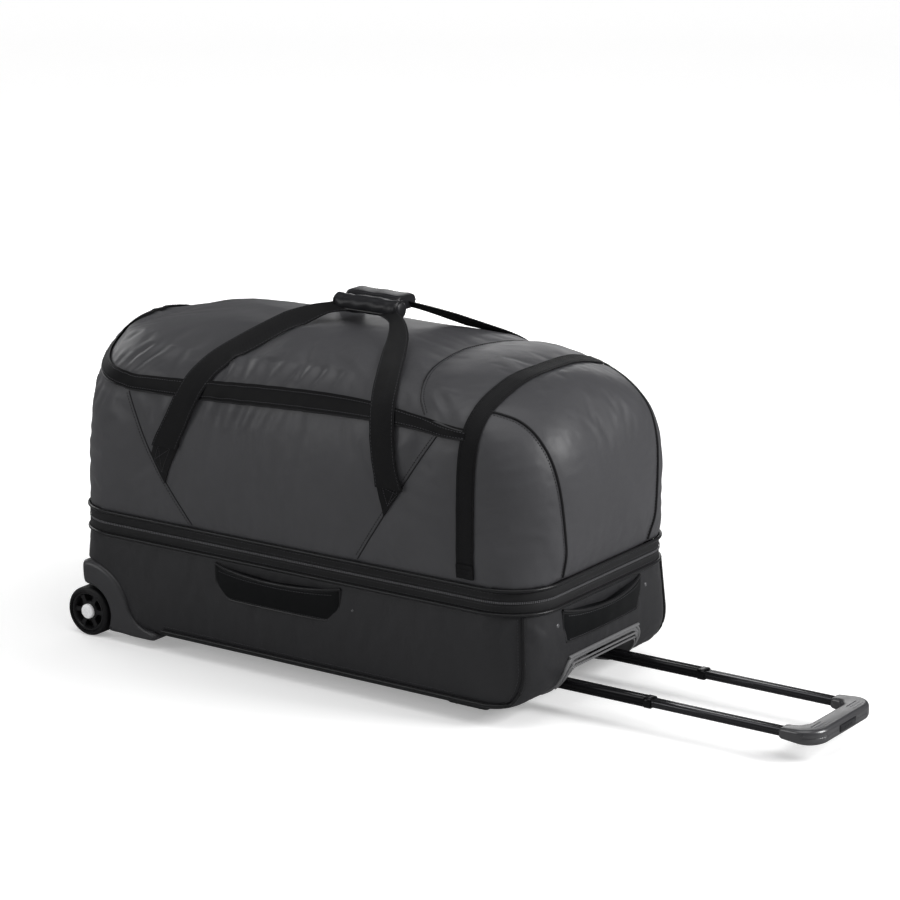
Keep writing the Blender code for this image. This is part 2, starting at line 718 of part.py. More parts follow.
def make_grip(upper, press):
    mesh = flat_outline([grip_outline()], GRIP_THICK, Matrix.Translation((0, 0, TROLLEY_Z)))
    grip = finish_object(mesh, "trolley_grip", HARD_PLASTIC, upper)
    bevel(grip, 0.0045)
    for label, side in (("front", -1), ("rear", 1)):
        half_u, half_v = UPPER_TUBE[0] / 2 + GAP, UPPER_TUBE[1] / 2 + GAP
        place = looking_along_x(UPPER_TUBE_X[1] + GAP - 0.020, side * TROLLEY_Y, TROLLEY_Z)
        socket = flat_outline([rounded_rectangle(half_u, half_v, 0.0048)], 0.040, place)
        boolean(grip, cutter(socket, "tube_socket_" + label))
        centre = (GRIP_X[0] + 0.026, side * TROLLEY_Y, TROLLEY_Z)
        boolean(grip, cutter(cylinder(centre, (1, 0, 0), 0.0026, 0.028, 12), "rod_hole_" + label))
    bar_x = GRIP_X[0] + 0.0385
    slot = box((bar_x - 0.0045, -0.0700, TROLLEY_Z - 0.0035), (bar_x + 0.0080, 0.0700, TROLLEY_Z + 0.0035))
    boolean(grip, cutter(slot, "bar_slot"))
    half_u, half_v = BUTTON_WIDTH / 2, BUTTON_HEIGHT / 2
    window = box(
        (bar_x, -half_u - GAP, TROLLEY_Z - half_v - GAP),
        (GRIP_X[1] + 0.010, half_u + GAP, TROLLEY_Z + half_v + GAP),
    )
    boolean(grip, cutter(window, "button_window"))
    cap = box(
        (bar_x + 0.0035, -half_u, TROLLEY_Z - half_v),
        (GRIP_X[1] + 0.0015, half_u, TROLLEY_Z + half_v),
    )
    button = finish_object(cap, "grip_button", HARD_PLASTIC, press)
    bevel(button, 0.0010)
    bar = box((bar_x, -0.0690, TROLLEY_Z - 0.0025), (bar_x + 0.0045, 0.0690, TROLLEY_Z + 0.0025))
    boolean(button, cutter(bar, "button_bar"), "UNION")


# Grab handles on the case

def make_grab_handle(name, centre, out, along, size):
    """A padded strip, bowed off the panel, that tips out from its stitched lower edge."""
    half, height = size
    hinge = pivot(name, centre)
    steps = 12
    inner, outer = [], []
    for k in range(steps + 1):
        share = 2 * k / steps - 1
        lift = 0.0010 + GRAB_BOW * (1 - share ** 2)
        inner.append((half * share, lift))
        outer.append((half * share, lift + 0.0040))
    outline = inner + outer[::-1]
    middle = Vector(centre) + Vector((0, 0, height / 2))
    turn = Matrix((along, out, Vector(along).cross(Vector(out)))).transposed().to_4x4()
    mesh = flat_outline([outline], height, Matrix.Translation(middle) @ turn)
    bevel(finish_object(mesh, name, WEBBING, hinge), 0.0012, 1)


def make_grab_handles():
    front = (GRAB_FRONT_X, -HALF_WIDTH, GRAB_FRONT_Z)
    make_grab_handle("front_grab_handle", front, (0, -1, 0), (1, 0, 0), GRAB_FRONT)
    end = (CASE_REACH, GRAB_END_Y, GRAB_END_Z)
    make_grab_handle("end_grab_handle", end, (1, 0, 0), (0, 1, 0), GRAB_END)


# The upper bag

def lid_side(name, x_end, low):
    """A block that holds everything of the bag's top on the wheel side of the lid's hinge."""
    return cutter(box((-0.500, -0.300, low), (x_end, 0.300, 0.600)), name)


def make_upper_bag(upper, lid):
    outer, hollow = bag_dome()
    hollow = cutter(hollow, "bag_hollow")
    shell = finish_object(outer, "main_shell", COATED_CLOTH, upper)
    boolean(shell, hollow)
    boolean(shell, lid_side("lid_opening", LID_HINGE_X, LID_EDGE_Z))
    panel = finish_object(outer.copy(), "lid_panel", COATED_CLOTH, lid)
    inside = lid_side("lid_block", LID_HINGE_X - 0.0015, LID_EDGE_Z + 0.0005)
    boolean(panel, inside, "INTERSECT")
    boolean(panel, hollow)
    floor_outline = [(x, y) for x, y in band_outline(-WALL - 0.0005)]
    place = Matrix.Translation((0, 0, BAND_SPLIT + 0.0040))
    finish_object(flat_outline([floor_outline], 0.0030, place), "divider_floor", BOARD, upper)
    finish_object(band(BAND_SPLIT + GAP, BAND_TOP - GAP), "upper_zip_tape", WEBBING, upper)
    finish_object(ring_cord(BAND_TOP), "band_top_piping", PIPING, upper)


def make_storm_flap(lid):
    """The strip over the lid's zip, from the hinge round the wheel end and back."""
    start, end = LID_HINGE_X - 0.003, -0.220
    steps = 10
    rows = []
    for z in (FLAP_BOTTOM_Z, (FLAP_BOTTOM_Z + LID_EDGE_Z) / 2, LID_EDGE_Z):
        row = [surface(start + (end - start) * k / steps, phi_at(0.0, z), -1) for k in range(steps + 1)]
        row += end_arc(phi_at(0.0, z))
        row += [(Vector((p.x, -p.y, p.z)), Vector((n.x, -n.y, n.z))) for p, n in reversed(row[: steps + 1])]
        rows.append(row)
    grid = [list(column) for column in zip(*rows)]
    finish_object(skin(grid, 0.0017, 0.0014), "lid_storm_flap", WEBBING, lid)


def end_arc(phi):
    """(point, normal) round the wheel end at one level, from the front corner to the rear one."""
    rise, half_width, left, _, r_left, _, crown = bag_level(phi)
    found = []
    for side, start in ((-1, 268), (1, 180)):
        for k in range(7):
            angle = radians(start - 88 * k / 6)
            out = Vector((cos(angle), sin(angle), 0))
            point = Vector((r_left - left, side * (half_width - r_left), 0)) + out * r_left
            point.z = crown_z(point.x, point.y, rise, crown)
            found.append((point, (out + Vector((0, 0, 0.35 * sin(phi)))).normalized()))
    return found


def make_end_strap(upper):
    """The webbing strap over the bag beside the lid, sewn down at the band on both sides."""
    grid = []
    left, right = END_STRAP_X - END_STRAP_WIDTH / 2, END_STRAP_X + END_STRAP_WIDTH / 2
    low = phi_at(END_STRAP_X, BAND_TOP + 0.010)
    angles = [low + (pi / 2 - low) * k / 22 for k in range(22)]
    for side, order in ((-1, angles), (1, angles[::-1])):
        for phi in order:
            grid.append([surface(x, phi, side) for x in (left, END_STRAP_X, right)])
    finish_object(skin(grid, 0.0014, WEBBING_THICK), "end_strap", WEBBING, upper)


def sewn_end(name, side, line, low_z, high_z, upper):
    """A handle strap's sewn-down end, leaning up the panel and cut level at both ends."""
    half = level_half_width(line)
    grid = []
    for k in range(4):
        z = low_z + (high_z - low_z) * k / 3
        across = [strap_x(line, z) + half * share for share in (-1, 0, 1)]
        grid.append([surface(x, phi_at(x, z), side) for x in across])
    finish_object(skin(grid, 0.0008, WEBBING_THICK), name, WEBBING, upper)


LEFT_STRAP = ((-0.2125, 0.2590), (-0.1520, 0.3800))
RIGHT_STRAP = ((0.1725, 0.2660), (0.1500, 0.3800))


def strap_x(line, z):
    (x0, z0), (x1, z1) = line
    return x0 + (x1 - x0) * (z - z0) / (z1 - z0)


def level_half_width(line):
    """Half the strap's width measured level, wider than the webbing where the strap leans."""
    (x0, z0), (x1, z1) = line
    return WEBBING_WIDTH / 2 * sqrt(1 + ((x1 - x0) / (z1 - z0)) ** 2)


def make_sewn_ends(upper):
    for side, label in ((-1, "front"), (1, "rear")):
        for line, end in ((LEFT_STRAP, "left"), (RIGHT_STRAP, "right")):
            name = f"strap_end_{label}_{end}"
            sewn_end(name, side, line, line[0][1] - 0.010, HANDLE_PIVOT_Z - 0.0012, upper)


def handle_path(side, grip):
    """(centre, normal) along a carry handle from its left pivot, over the grip, to its right pivot."""
    grip_y, grip_z, grip_left, grip_right = grip
    halves = []
    for line, grip_x in ((LEFT_STRAP, grip_left), (RIGHT_STRAP, grip_right)):
        half = []
        for z in (HANDLE_PIVOT_Z + 0.0012, 0.310, 0.330, 0.350, 0.365, 0.380, 0.393, 0.402, 0.4085):
            x = strap_x(line, min(z, 0.385))
            point, normal = surface(x, phi_at(x, z), side)
            half.append((point + normal * 0.0052, normal))
        shoulder = half[-1][0]
        for share in (0.25, 0.5, 0.75, 1.0):
            goal = Vector((grip_x, grip_y, grip_z))
            point = shoulder.lerp(goal, share)
            point.z += 0.004 * sin(pi * share)
            half.append((point, Vector((0, 0.35 * side * (1 - share), 1)).normalized()))
        halves.append(half)
    middle = [(Vector((grip_left * (1 - s) + grip_right * s, grip_y, grip_z)), Vector((0, 0, 1)))
              for s in (0.33, 0.67)]
    return halves[0] + middle + halves[1][::-1]


def make_carry_handle(name, side, grip, narrow, hinge):
    """A webbing loop that narrows where it runs through its grip."""
    path = handle_path(side, grip)
    grid = []
    for k, (point, normal) in enumerate(path):
        before, after = path[max(k - 1, 0)][0], path[min(k + 1, len(path) - 1)][0]
        in_grip = grip[2] - 0.001 < point.x < grip[3] + 0.001
        along = Vector((1, 0, 0)) if in_grip else (after - before).normalized()
        across = along.cross(normal).normalized()
        if k in (0, len(path) - 1):
            across = Vector((-side, 0, 0)) if k == 0 else Vector((side, 0, 0))
        from_grip = max(abs(point.x - (grip[2] + grip[3]) / 2) - (grip[3] - grip[2]) / 2, 0.0)
        share = min(from_grip / 0.035, 1.0)
        half = (narrow + (WEBBING_WIDTH - narrow) * share) / 2
        if k == 0:
            half = level_half_width(LEFT_STRAP)
        clean = across.cross(along).normalized()
        clean = clean if clean.dot(normal) > 0 else -clean
        grid.append([(point + across * half * s, clean) for s in (-1, 1)])
    finish_object(skin(grid, -WEBBING_THICK / 2, WEBBING_THICK), name, WEBBING, hinge)


FRONT_GRIP = (-0.0140, 0.4768, -0.0440, 0.0660)
REAR_GRIP = (0.0220, 0.4790, -0.0420, 0.0480)


def make_carry_handles(front, rear):
    make_carry_handle("front_carry_handle", -1, FRONT_GRIP, 0.018, front)
    make_carry_handle("rear_carry_handle", 1, REAR_GRIP, 0.024, rear)
    y, z, left, right = FRONT_GRIP
    bore = [(v * 0.0100, w * 0.0018) for v, w in ((-1, -1), (1, -1), (1, 1), (-1, 1))]
    outer = arc((0, 0), WRAP_RADIUS, 0, 345, 23)
    length = right - left - 0.004
    wrap = flat_outline([outer, bore], length, looking_along_x((left + right) / 2, y, z))
    bevel(finish_object(wrap, "front_handle_wrap", CASE_CLOTH, front), 0.002, 1)
    y, z, left, right = REAR_GRIP
    bore = [(v * 0.0130, w * 0.0018) for v, w in ((-1, -1), (1, -1), (1, 1), (-1, 1))]
    outer = rounded_rectangle(0.0200, 0.0105, 0.0095)
    length = right - left - 0.004
    pad = flat_outline([outer, bore], length, looking_along_x((left + right) / 2, y, z))
    bevel(finish_object(pad, "rear_handle_wrap", CASE_CLOTH, rear), 0.002, 1)


# Zip sliders

def make_slider(name, centre, out, down, hinge):
    """A zip slider with its hanging puller, standing off the tape."""
    out, down = Vector(out), Vector(down)
    side = out.cross(down)
    turn = Matrix((side, down, out)).transposed().to_4x4()
    place = Matrix.Translation(Vector(centre)) @ turn

    def build(bm):
        body = Matrix.Translation((0, 0, 0.0026)) @ Matrix.Diagonal((0.0090, 0.0120, 0.0042, 1))
        bmesh.ops.create_cube(bm, size=1.0, matrix=place @ body)

    slider = finish_object(mesh_from(build), name, STEEL, hinge)
    bevel(slider, 0.0008, 1)
    puller = flat_outline(
        [rounded_rectangle(0.0040, 0.0150, 0.0030)], 0.0016,
        place @ Matrix.Translation((0, 0.0120, 0.0038)),
    )
    boolean(slider, cutter(puller, name + "_puller"), "UNION")


def make_sliders(upper):
    for label, side in (("front", -1), ("rear", 1)):
        place = (-BAND_REACH, side * 0.014, BAND_SPLIT)
        hinge = pivot("band_zip_" + label, place)
        make_slider("band_zip_slider_" + label, place, (-1, 0, 0), (0, side, 0), hinge)
    y = section_point(0.0, phi_at(0.0, FLAP_BOTTOM_Z - 0.008), 1).y + 0.0002
    place = (0.100, y, FLAP_BOTTOM_Z - 0.010)
    hinge = pivot("lid_zip", place)
    hinge.parent = upper
    hinge.matrix_parent_inverse = upper.matrix_world.inverted()
    make_slider("lid_zip_slider", place, (0, 1, 0), (0, 0, -1), hinge)


def stand_on_origin():
    """Moves the whole bag so that the origin is under the middle of its overall box."""
    loose = [piece for piece in bpy.data.objects if piece.parent is None]
    whole = pivot("whole_bag", (0.0, 0.0, 0.0))
    for piece in loose:
        piece.parent = whole
    whole.location = (-BOX_MIDDLE[0], -BOX_MIDDLE[1], 0.0)


def main():
    make_case()
    make_case_trim()
    for label, side in (("front", -1), ("rear", 1)):
        make_housing(label, side)
        make_wheel(label, side)
    make_feet()
    make_rivets()
    make_bezel()
    make_trolley()
    make_grab_handles()
    upper = pivot("upper_bag", (0.0, HALF_WIDTH + 0.0025, BAND_SPLIT))
    lid = pivot("lid", (LID_HINGE_X, 0.0, LID_HINGE_Z))
    front = pivot("front_carry_handle", (0.0, -HANDLE_PIVOT_Y, HANDLE_PIVOT_Z))
    rear = pivot("rear_carry_handle", (0.0, HANDLE_PIVOT_Y, HANDLE_PIVOT_Z))
    for moving in (lid, front, rear):
        moving.parent = upper
        moving.matrix_parent_inverse = upper.matrix_world.inverted()
    make_upper_bag(upper, lid)
    make_storm_flap(lid)
    make_end_strap(upper)
    make_sewn_ends(upper)
    make_carry_handles(front, rear)
    make_sliders(upper)
    stand_on_origin()


main()
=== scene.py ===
"""The looks of the rolling duffel bag: cloth, webbing, zips and moulded pieces around its CAD."""
import json
from contextlib import contextmanager
from math import cos, pi, radians, sin, sqrt

import bmesh
import bpy
import numpy as np
from mathutils import Matrix, Vector
from mathutils.bvhtree import BVHTree


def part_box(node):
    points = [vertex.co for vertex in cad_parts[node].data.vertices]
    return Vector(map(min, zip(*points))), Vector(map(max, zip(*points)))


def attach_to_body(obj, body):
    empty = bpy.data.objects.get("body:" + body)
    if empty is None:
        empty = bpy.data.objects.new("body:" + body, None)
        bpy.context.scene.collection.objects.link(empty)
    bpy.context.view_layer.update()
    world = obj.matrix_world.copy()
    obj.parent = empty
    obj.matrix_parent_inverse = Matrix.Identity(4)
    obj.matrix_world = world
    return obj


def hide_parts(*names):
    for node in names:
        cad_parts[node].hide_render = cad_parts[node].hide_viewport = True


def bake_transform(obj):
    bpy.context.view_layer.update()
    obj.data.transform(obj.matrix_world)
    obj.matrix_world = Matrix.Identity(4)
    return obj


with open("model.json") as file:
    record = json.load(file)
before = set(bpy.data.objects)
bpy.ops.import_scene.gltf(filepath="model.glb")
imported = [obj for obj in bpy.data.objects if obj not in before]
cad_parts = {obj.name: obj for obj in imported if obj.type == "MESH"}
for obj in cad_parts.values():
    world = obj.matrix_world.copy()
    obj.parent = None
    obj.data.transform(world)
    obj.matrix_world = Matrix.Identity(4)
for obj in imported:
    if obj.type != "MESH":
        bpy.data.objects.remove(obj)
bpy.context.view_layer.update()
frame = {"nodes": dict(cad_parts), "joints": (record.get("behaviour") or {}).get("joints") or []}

# ---------------------------------------------------------------- the frame's own sizes

# The frame's origin is under the middle of the bag and its drawn-out handle together. The pieces
# below are drawn about the middle of the bag alone and moved as they are attached.
CASE_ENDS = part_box("case_shell")
MIDDLE = Vector(((CASE_ENDS[0].x + CASE_ENDS[1].x) / 2, (CASE_ENDS[0].y + CASE_ENDS[1].y) / 2, 0))


def box(node):
    """A CAD node's corners, seen from the bag's own middle."""
    low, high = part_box(node)
    return low - MIDDLE, high - MIDDLE


CASE_LOW, CASE_HIGH = box("case_shell")
BAND_LOW, BAND_HIGH = box("upper_zip_tape")
LOWER_BAND_LOW, LOWER_BAND_HIGH = box("lower_zip_tape")
STRAP_LOW, STRAP_HIGH = box("end_strap")
TYRE_LOW, TYRE_HIGH = box("tyre_front")
JOINTS = {joint["name"]: joint for joint in frame["joints"]}
LID_HINGE = Vector(JOINTS["lid_hinge"]["pos_m"]) - MIDDLE
HANDLE_PIVOT = Vector(JOINTS["rear_handle_hinge"]["pos_m"]) - MIDDLE

BAND_REACH = BAND_HIGH.x
BAND_HALF_WIDTH = BAND_HIGH.y
BAND_CORNER = 0.068
BAND_TOP = BAND_HIGH.z
BAND_SPLIT = (BAND_LOW.z + LOWER_BAND_HIGH.z) / 2
CASE_TOP = CASE_HIGH.z
CASE_BOTTOM = CASE_LOW.z

# The upper bag's form: a rounded block whose outline shrinks from the band to the crown
BAG_HALF_WIDTH = 0.186
BAG_RISE = 0.2366
BAG_CROWN = 0.021
BAG_SQUARENESS = 6.3
BAG_TUCK = 0.045
WHEEL_END = {"reach": 0.385, "lean": 0.020, "power": 1.59, "corners": (0.100, 0.159)}
HANDLE_END = {"reach": 0.384, "lean": 0.089, "power": 1.50, "corners": (0.090, 0.136)}
SEAM_Z = box("lid_panel")[0].z

# The lower case's form
CASE_REACH = CASE_HIGH.x
CASE_HALF_WIDTH = CASE_HIGH.y
CASE_END_RADIUS = 0.060
CASE_EDGE_RADIUS = 0.012
CASE_CORNERS = (0.032, 0.066)

# Cloth and trim
CLOTH_THICK = 0.0014
CASE_CLOTH_THICK = 0.0028
BAG_VOXEL = 0.0052
CASE_VOXEL = 0.0056
STITCH_LIFT = 0.0002
PIPING_RADIUS = 0.0023
WEBBING_WIDTH = 0.037
WEBBING_THICK = 0.0020
STRAP_X = (STRAP_LOW.x + STRAP_HIGH.x) / 2
STRAP_WIDTH = 0.0255

SIDES = (("front", -1), ("rear", 1))

COLLECTION = bpy.data.collections.new("duffel_looks")
bpy.context.scene.collection.children.link(COLLECTION)


# ---------------------------------------------------------------- materials

class Shader:
    """A small helper for wiring one Principled material."""

    def __init__(self, name, colour, roughness, metallic=0.0):
        self.material = bpy.data.materials.new(name)
        self.material.use_nodes = True
        self.tree = self.material.node_tree
        self.shader = self.tree.nodes["Principled BSDF"]
        self.put(self.shader, {"Base Color": (*colour, 1), "Roughness": roughness, "Metallic": metallic,
                               "Specular IOR Level": 0.30})
        self.colour, self.roughness, self.relief = colour, roughness, {}
        self.place = self.node("TexCoord").outputs["Object"]

    def put(self, node, inputs):
        """Fills a node's inputs: sockets are linked and anything else is a value."""
        for name, value in inputs.items():
            if isinstance(value, bpy.types.NodeSocket):
                self.tree.links.new(value, node.inputs[name])
            else:
                node.inputs[name].default_value = value
        return node

    def node(self, kind, inputs=None, **settings):
        node = self.tree.nodes.new("ShaderNode" + kind)
        for name, value in settings.items():
            setattr(node, name, value)
        return self.put(node, inputs or {})

    def math(self, operation, first, second=0.0, *third):
        return self.node("Math", dict(enumerate((first, second, *third))), operation=operation).outputs[0]

    def noise(self, size, detail=3.0, rough=0.55, stretch=(1, 1, 1)):
        """Noise whose features are about size metres across."""
        mapping = self.node("Mapping", {"Scale": stretch, "Vector": self.place})
        return self.node("TexNoise", {"Scale": 1 / size, "Detail": detail, "Roughness": rough,
                                      "Vector": mapping.outputs[0]}).outputs["Fac"]

    def cells(self, size):
        return self.node("TexVoronoi", {"Scale": 1 / size, "Vector": self.place}).outputs["Distance"]

    def axis(self, letter):
        return self.node("SeparateXYZ", {0: self.place}).outputs[letter]

    def attribute(self, name):
        return self.node("Attribute", attribute_name=name).outputs["Fac"]

    def ribs(self, along, pitch):
        """A rounded ridge every pitch metres, from 0 to 1."""
        turned = self.math("MULTIPLY", along, 2 * pi / pitch)
        return self.math("MULTIPLY_ADD", self.math("SINE", turned), 0.5, 0.5)

    def mix_colour(self, factor, first, second):
        """Makes the base colour a mix of two."""
        mix = self.node("Mix", {"A": first, "B": second, "Factor": factor}, data_type="RGBA")
        self.put(self.shader, {"Base Color": mix.outputs["Result"]})

    def vary_colour(self, factor, amount):
        """Shifts the base colour up and down by a share of itself."""
        darker = (*[c * (1 - amount) for c in self.colour], 1)
        self.mix_colour(factor, darker, (*[min(c * (1 + amount), 1) for c in self.colour], 1))

    def wear_edges(self, lighter, sharpness=8.0):
        """Rubbed edges: the varied base colour lightens where the surface is pointed."""
        geometry = self.node("NewGeometry")
        edge = self.math("SUBTRACT", geometry.outputs["Pointiness"], 0.52)
        edge = self.math("MULTIPLY", edge, sharpness)
        edge.node.use_clamp = True
        varied = self.shader.inputs["Base Color"].links[0].from_socket
        self.mix_colour(edge, varied, (*lighter, 1))

    def vary_roughness(self, factor, amount):
        spread = self.math("MULTIPLY_ADD", factor, 2 * amount, self.roughness - amount)
        self.put(self.shader, {"Roughness": spread})

    def bump(self, height, distance, strength=1.0):
        """Adds relief of a distance in metres on top of what is there."""
        node = self.node("Bump", {"Distance": distance, "Strength": strength, "Height": height,
                                  **self.relief})
        self.relief = {"Normal": node.outputs["Normal"]}
        self.put(self.shader, self.relief)

    def sheen(self, weight, roughness=0.4, tint=(1, 1, 1)):
        self.put(self.shader, {"Sheen Weight": weight, "Sheen Roughness": roughness,
                               "Sheen Tint": (*tint, 1)})


def coated_cloth(name, colour, roughness, sheen):
    """A tight weave under a satin coating, with faint unevenness in tone and gloss."""
    s = Shader(name, colour, roughness)
    s.vary_colour(s.noise(0.060, 4), 0.10)
    s.vary_roughness(s.noise(0.035, 3), 0.06)
    s.bump(s.noise(0.018, 3, 0.5), 0.0006, 0.5)
    warp = s.ribs(s.math("ADD", s.axis("X"), s.axis("Y")), 0.0011)
    weft = s.ribs(s.math("ADD", s.axis("Z"), s.math("MULTIPLY", s.axis("Y"), 0.5)), 0.0011)
    s.bump(s.math("MULTIPLY", warp, weft), 0.00007, 0.35)
    s.sheen(sheen, 0.45, (0.6, 0.6, 0.65))
    return s.material


def webbing(name, colour):
    """Woven tape: ribs across it, a herringbone along it and denser selvedges."""
    s = Shader(name, colour, 0.72)
    along, across = s.attribute("along"), s.attribute("across")
    slanted = s.math("MULTIPLY_ADD", s.math("ABSOLUTE", across), 0.8, along)
    weave = s.ribs(slanted, 0.0022)
    warp = s.ribs(across, 0.0016)
    s.bump(s.math("MULTIPLY", weave, s.math("MULTIPLY_ADD", warp, 0.5, 0.5)), 0.00025, 0.8)
    s.vary_colour(s.math("MULTIPLY_ADD", weave, 0.6, s.math("MULTIPLY", s.noise(0.02), 0.4)), 0.35)
    s.sheen(0.05, 0.5)
    return s.material


def tape(name, colour):
    """Fine zip tape with close cross ribs."""
    s = Shader(name, colour, 0.66)
    ribs = s.ribs(s.attribute("along"), 0.0012)
    rows = s.ribs(s.attribute("across"), 0.0009)
    s.bump(s.math("MULTIPLY", ribs, rows), 0.00012, 0.6)
    s.vary_colour(s.noise(0.03), 0.18)
    s.sheen(0.03, 0.5)
    return s.material


def moulded(name, colour, roughness, worn=None):
    """Injection-moulded plastic with a spark-eroded grain."""
    s = Shader(name, colour, roughness)
    s.vary_colour(s.noise(0.05), 0.08)
    s.vary_roughness(s.noise(0.02), 0.07)
    s.bump(s.cells(0.0009), 0.00008, 0.35)
    if worn:
        s.wear_edges(worn)
    return s.material


def glossy(material, level):
    """The same material with its surface reflection set to a level."""
    material.node_tree.nodes["Principled BSDF"].inputs["Specular IOR Level"].default_value = level
    return material


def rubber(name):
    s = Shader(name, (0.010, 0.010, 0.011), 0.55)
    s.vary_colour(s.noise(0.012, 5), 0.4)
    s.vary_roughness(s.noise(0.008), 0.12)
    s.bump(s.noise(0.0012, 4), 0.0001, 0.4)
    return s.material


def metal(name, colour, roughness, brushed=(1, 1, 1), metallic=1.0):
    s = Shader(name, colour, roughness, metallic)
    s.vary_roughness(s.noise(0.004, 4, 0.6, brushed), 0.08)
    s.vary_colour(s.noise(0.03), 0.06)
    s.bump(s.noise(0.0010, 3, 0.6, brushed), 0.00002, 0.5)
    return s.material


def lining(name, colour):
    """Thin lining cloth with a small ripstop grid."""
    s = Shader(name, colour, 0.7)
    lines = [s.math("POWER", s.ribs(s.math("ADD", s.axis(letter), s.axis("Y")), 0.006), 12)
             for letter in "XZ"]
    s.bump(s.math("MAXIMUM", *lines), 0.00015, 0.7)
    s.vary_colour(s.math("MAXIMUM", *lines), 0.15)
    s.sheen(0.2)
    return s.material


M = {
    "bag": coated_cloth("bag_cloth", (0.054, 0.054, 0.058), 0.44, 0.03),
    "case": coated_cloth("case_cloth", (0.023, 0.023, 0.025), 0.46, 0.02),
    "piping": glossy(coated_cloth("piping_cloth", (0.012, 0.012, 0.013), 0.34, 0.02), 0.3),
    "grab": glossy(coated_cloth("grab_cloth", (0.0050, 0.0055, 0.0062), 0.52, 0.0), 0.16),
    "wrap": coated_cloth("wrap_cloth", (0.012, 0.012, 0.014), 0.38, 0.03),
    "seam": Shader("seam_thread", (0.010, 0.010, 0.011), 0.6).material,
    "webbing": glossy(webbing("black_webbing", (0.0052, 0.0052, 0.0060)), 0.16),
    "flap": glossy(coated_cloth("flap_cloth", (0.0045, 0.0045, 0.0052), 0.52, 0.0), 0.12),
    "tape": tape("zip_tape", (0.010, 0.010, 0.011)),
    "teeth": metal("zip_teeth", (0.20, 0.20, 0.21), 0.36, metallic=0.3),
    "slider": metal("dark_plated", (0.10, 0.10, 0.105), 0.30),
    "rivet": metal("rivet_plated", (0.15, 0.15, 0.155), 0.36, metallic=0.5),
    "steel": metal("bright_steel", (0.55, 0.55, 0.56), 0.28, (1, 30, 1)),
    "mill": metal("mill_aluminium", (0.50, 0.50, 0.51), 0.38, (0.1, 20, 20)),
    "tube": metal("black_anodised", (0.006, 0.006, 0.007), 0.24, (0.05, 8, 8), 0.2),
    "inner_tube": metal("inner_anodised", (0.050, 0.050, 0.054), 0.22, (0.05, 8, 8), 0.75),
    "housing": glossy(moulded("housing_plastic", (0.030, 0.030, 0.033), 0.42, worn=(0.08, 0.08, 0.085)), 0.6),
    "grip": glossy(moulded("grip_plastic", (0.036, 0.036, 0.039), 0.30, worn=(0.09, 0.09, 0.095)), 1.0),
    "button": moulded("button_plastic", (0.018, 0.018, 0.020), 0.32),
    "bezel": moulded("bezel_plastic", (0.150, 0.150, 0.154), 0.38),
    "rim": moulded("rim_plastic", (0.012, 0.012, 0.013), 0.30),
    "tyre": rubber("tyre_rubber"),
    "hub": metal("hub_silver", (0.92, 0.92, 0.93), 0.34, metallic=0.0),
    "lining": lining("inner_lining", (0.060, 0.062, 0.068)),
    "thread": Shader("stitch_thread", (0.045, 0.045, 0.050), 0.55).material,
}


# ---------------------------------------------------------------- mesh helpers

@contextmanager
def edited(mesh):
    """A mesh opened as a bmesh and written back."""
    bm = bmesh.new()
    bm.from_mesh(mesh)
    yield bm
    bm.to_mesh(mesh)
    bm.free()


def finish_mesh(mesh, material, angle=42):
    """One material and smooth faces, kept sharp where they meet at more than an angle."""
    mesh.materials.clear()
    mesh.materials.append(material)
    mesh.shade_smooth()
    mesh.set_sharp_from_angle(angle=radians(angle))


def add_object(name, mesh, material):
    mesh.name = name
    finish_mesh(mesh, material)
    made = bpy.data.objects.new(name, mesh)
    COLLECTION.objects.link(made)
    return made


def mesh_of(points, faces, along=None, across=None):
    mesh = bpy.data.meshes.new("mesh")
    mesh.from_pydata([tuple(p) for p in points], [], [tuple(f) for f in faces])
    for name, values in (("along", along), ("across", across)):
        if values is not None:
            attribute = mesh.attributes.new(name, "FLOAT", "POINT")
            attribute.data.foreach_set("value", np.asarray(values, np.float32))
    mesh.validate()
    with edited(mesh) as bm:
        bmesh.ops.recalc_face_normals(bm, faces=bm.faces)
    return mesh


def bands(count, width, closed=False, whole=True):
    """Faces between count rows of width points; closed joins the last row to the first, and
    whole joins each row's last point to its first."""
    return [(i * width + k, i * width + (k + 1) % width,
             (i + 1) % count * width + (k + 1) % width, (i + 1) % count * width + k)
            for i in range(count if closed else count - 1) for k in range(width if whole else width - 1)]


def loft_mesh(rings):
    """A solid through rings of as many points each."""
    width, last = len(rings[0]), (len(rings) - 1) * len(rings[0])
    faces = bands(len(rings), width) + [tuple(range(width))[::-1], tuple(range(last, last + width))]
    return mesh_of([p for ring in rings for p in ring], faces)


def arc(centre, radius, start, end, steps):
    angles = [radians(start + (end - start) * k / steps) for k in range(steps + 1)]
    return [(centre[0] + radius * cos(a), centre[1] + radius * sin(a)) for a in angles]


def rounded_rectangle(half_u, half_v, radius, steps=5):
    points = []
    for start, (su, sv) in zip((0, 90, 180, 270), ((1, 1), (-1, 1), (-1, -1), (1, -1))):
        points += arc((su * (half_u - radius), sv * (half_v - radius)), radius, start, start + 90, steps)
    return points


def run_along(path):
    """The distance run at each point of a path."""
    return np.r_[0, np.cumsum(np.linalg.norm(np.diff(path, axis=0), axis=1))]


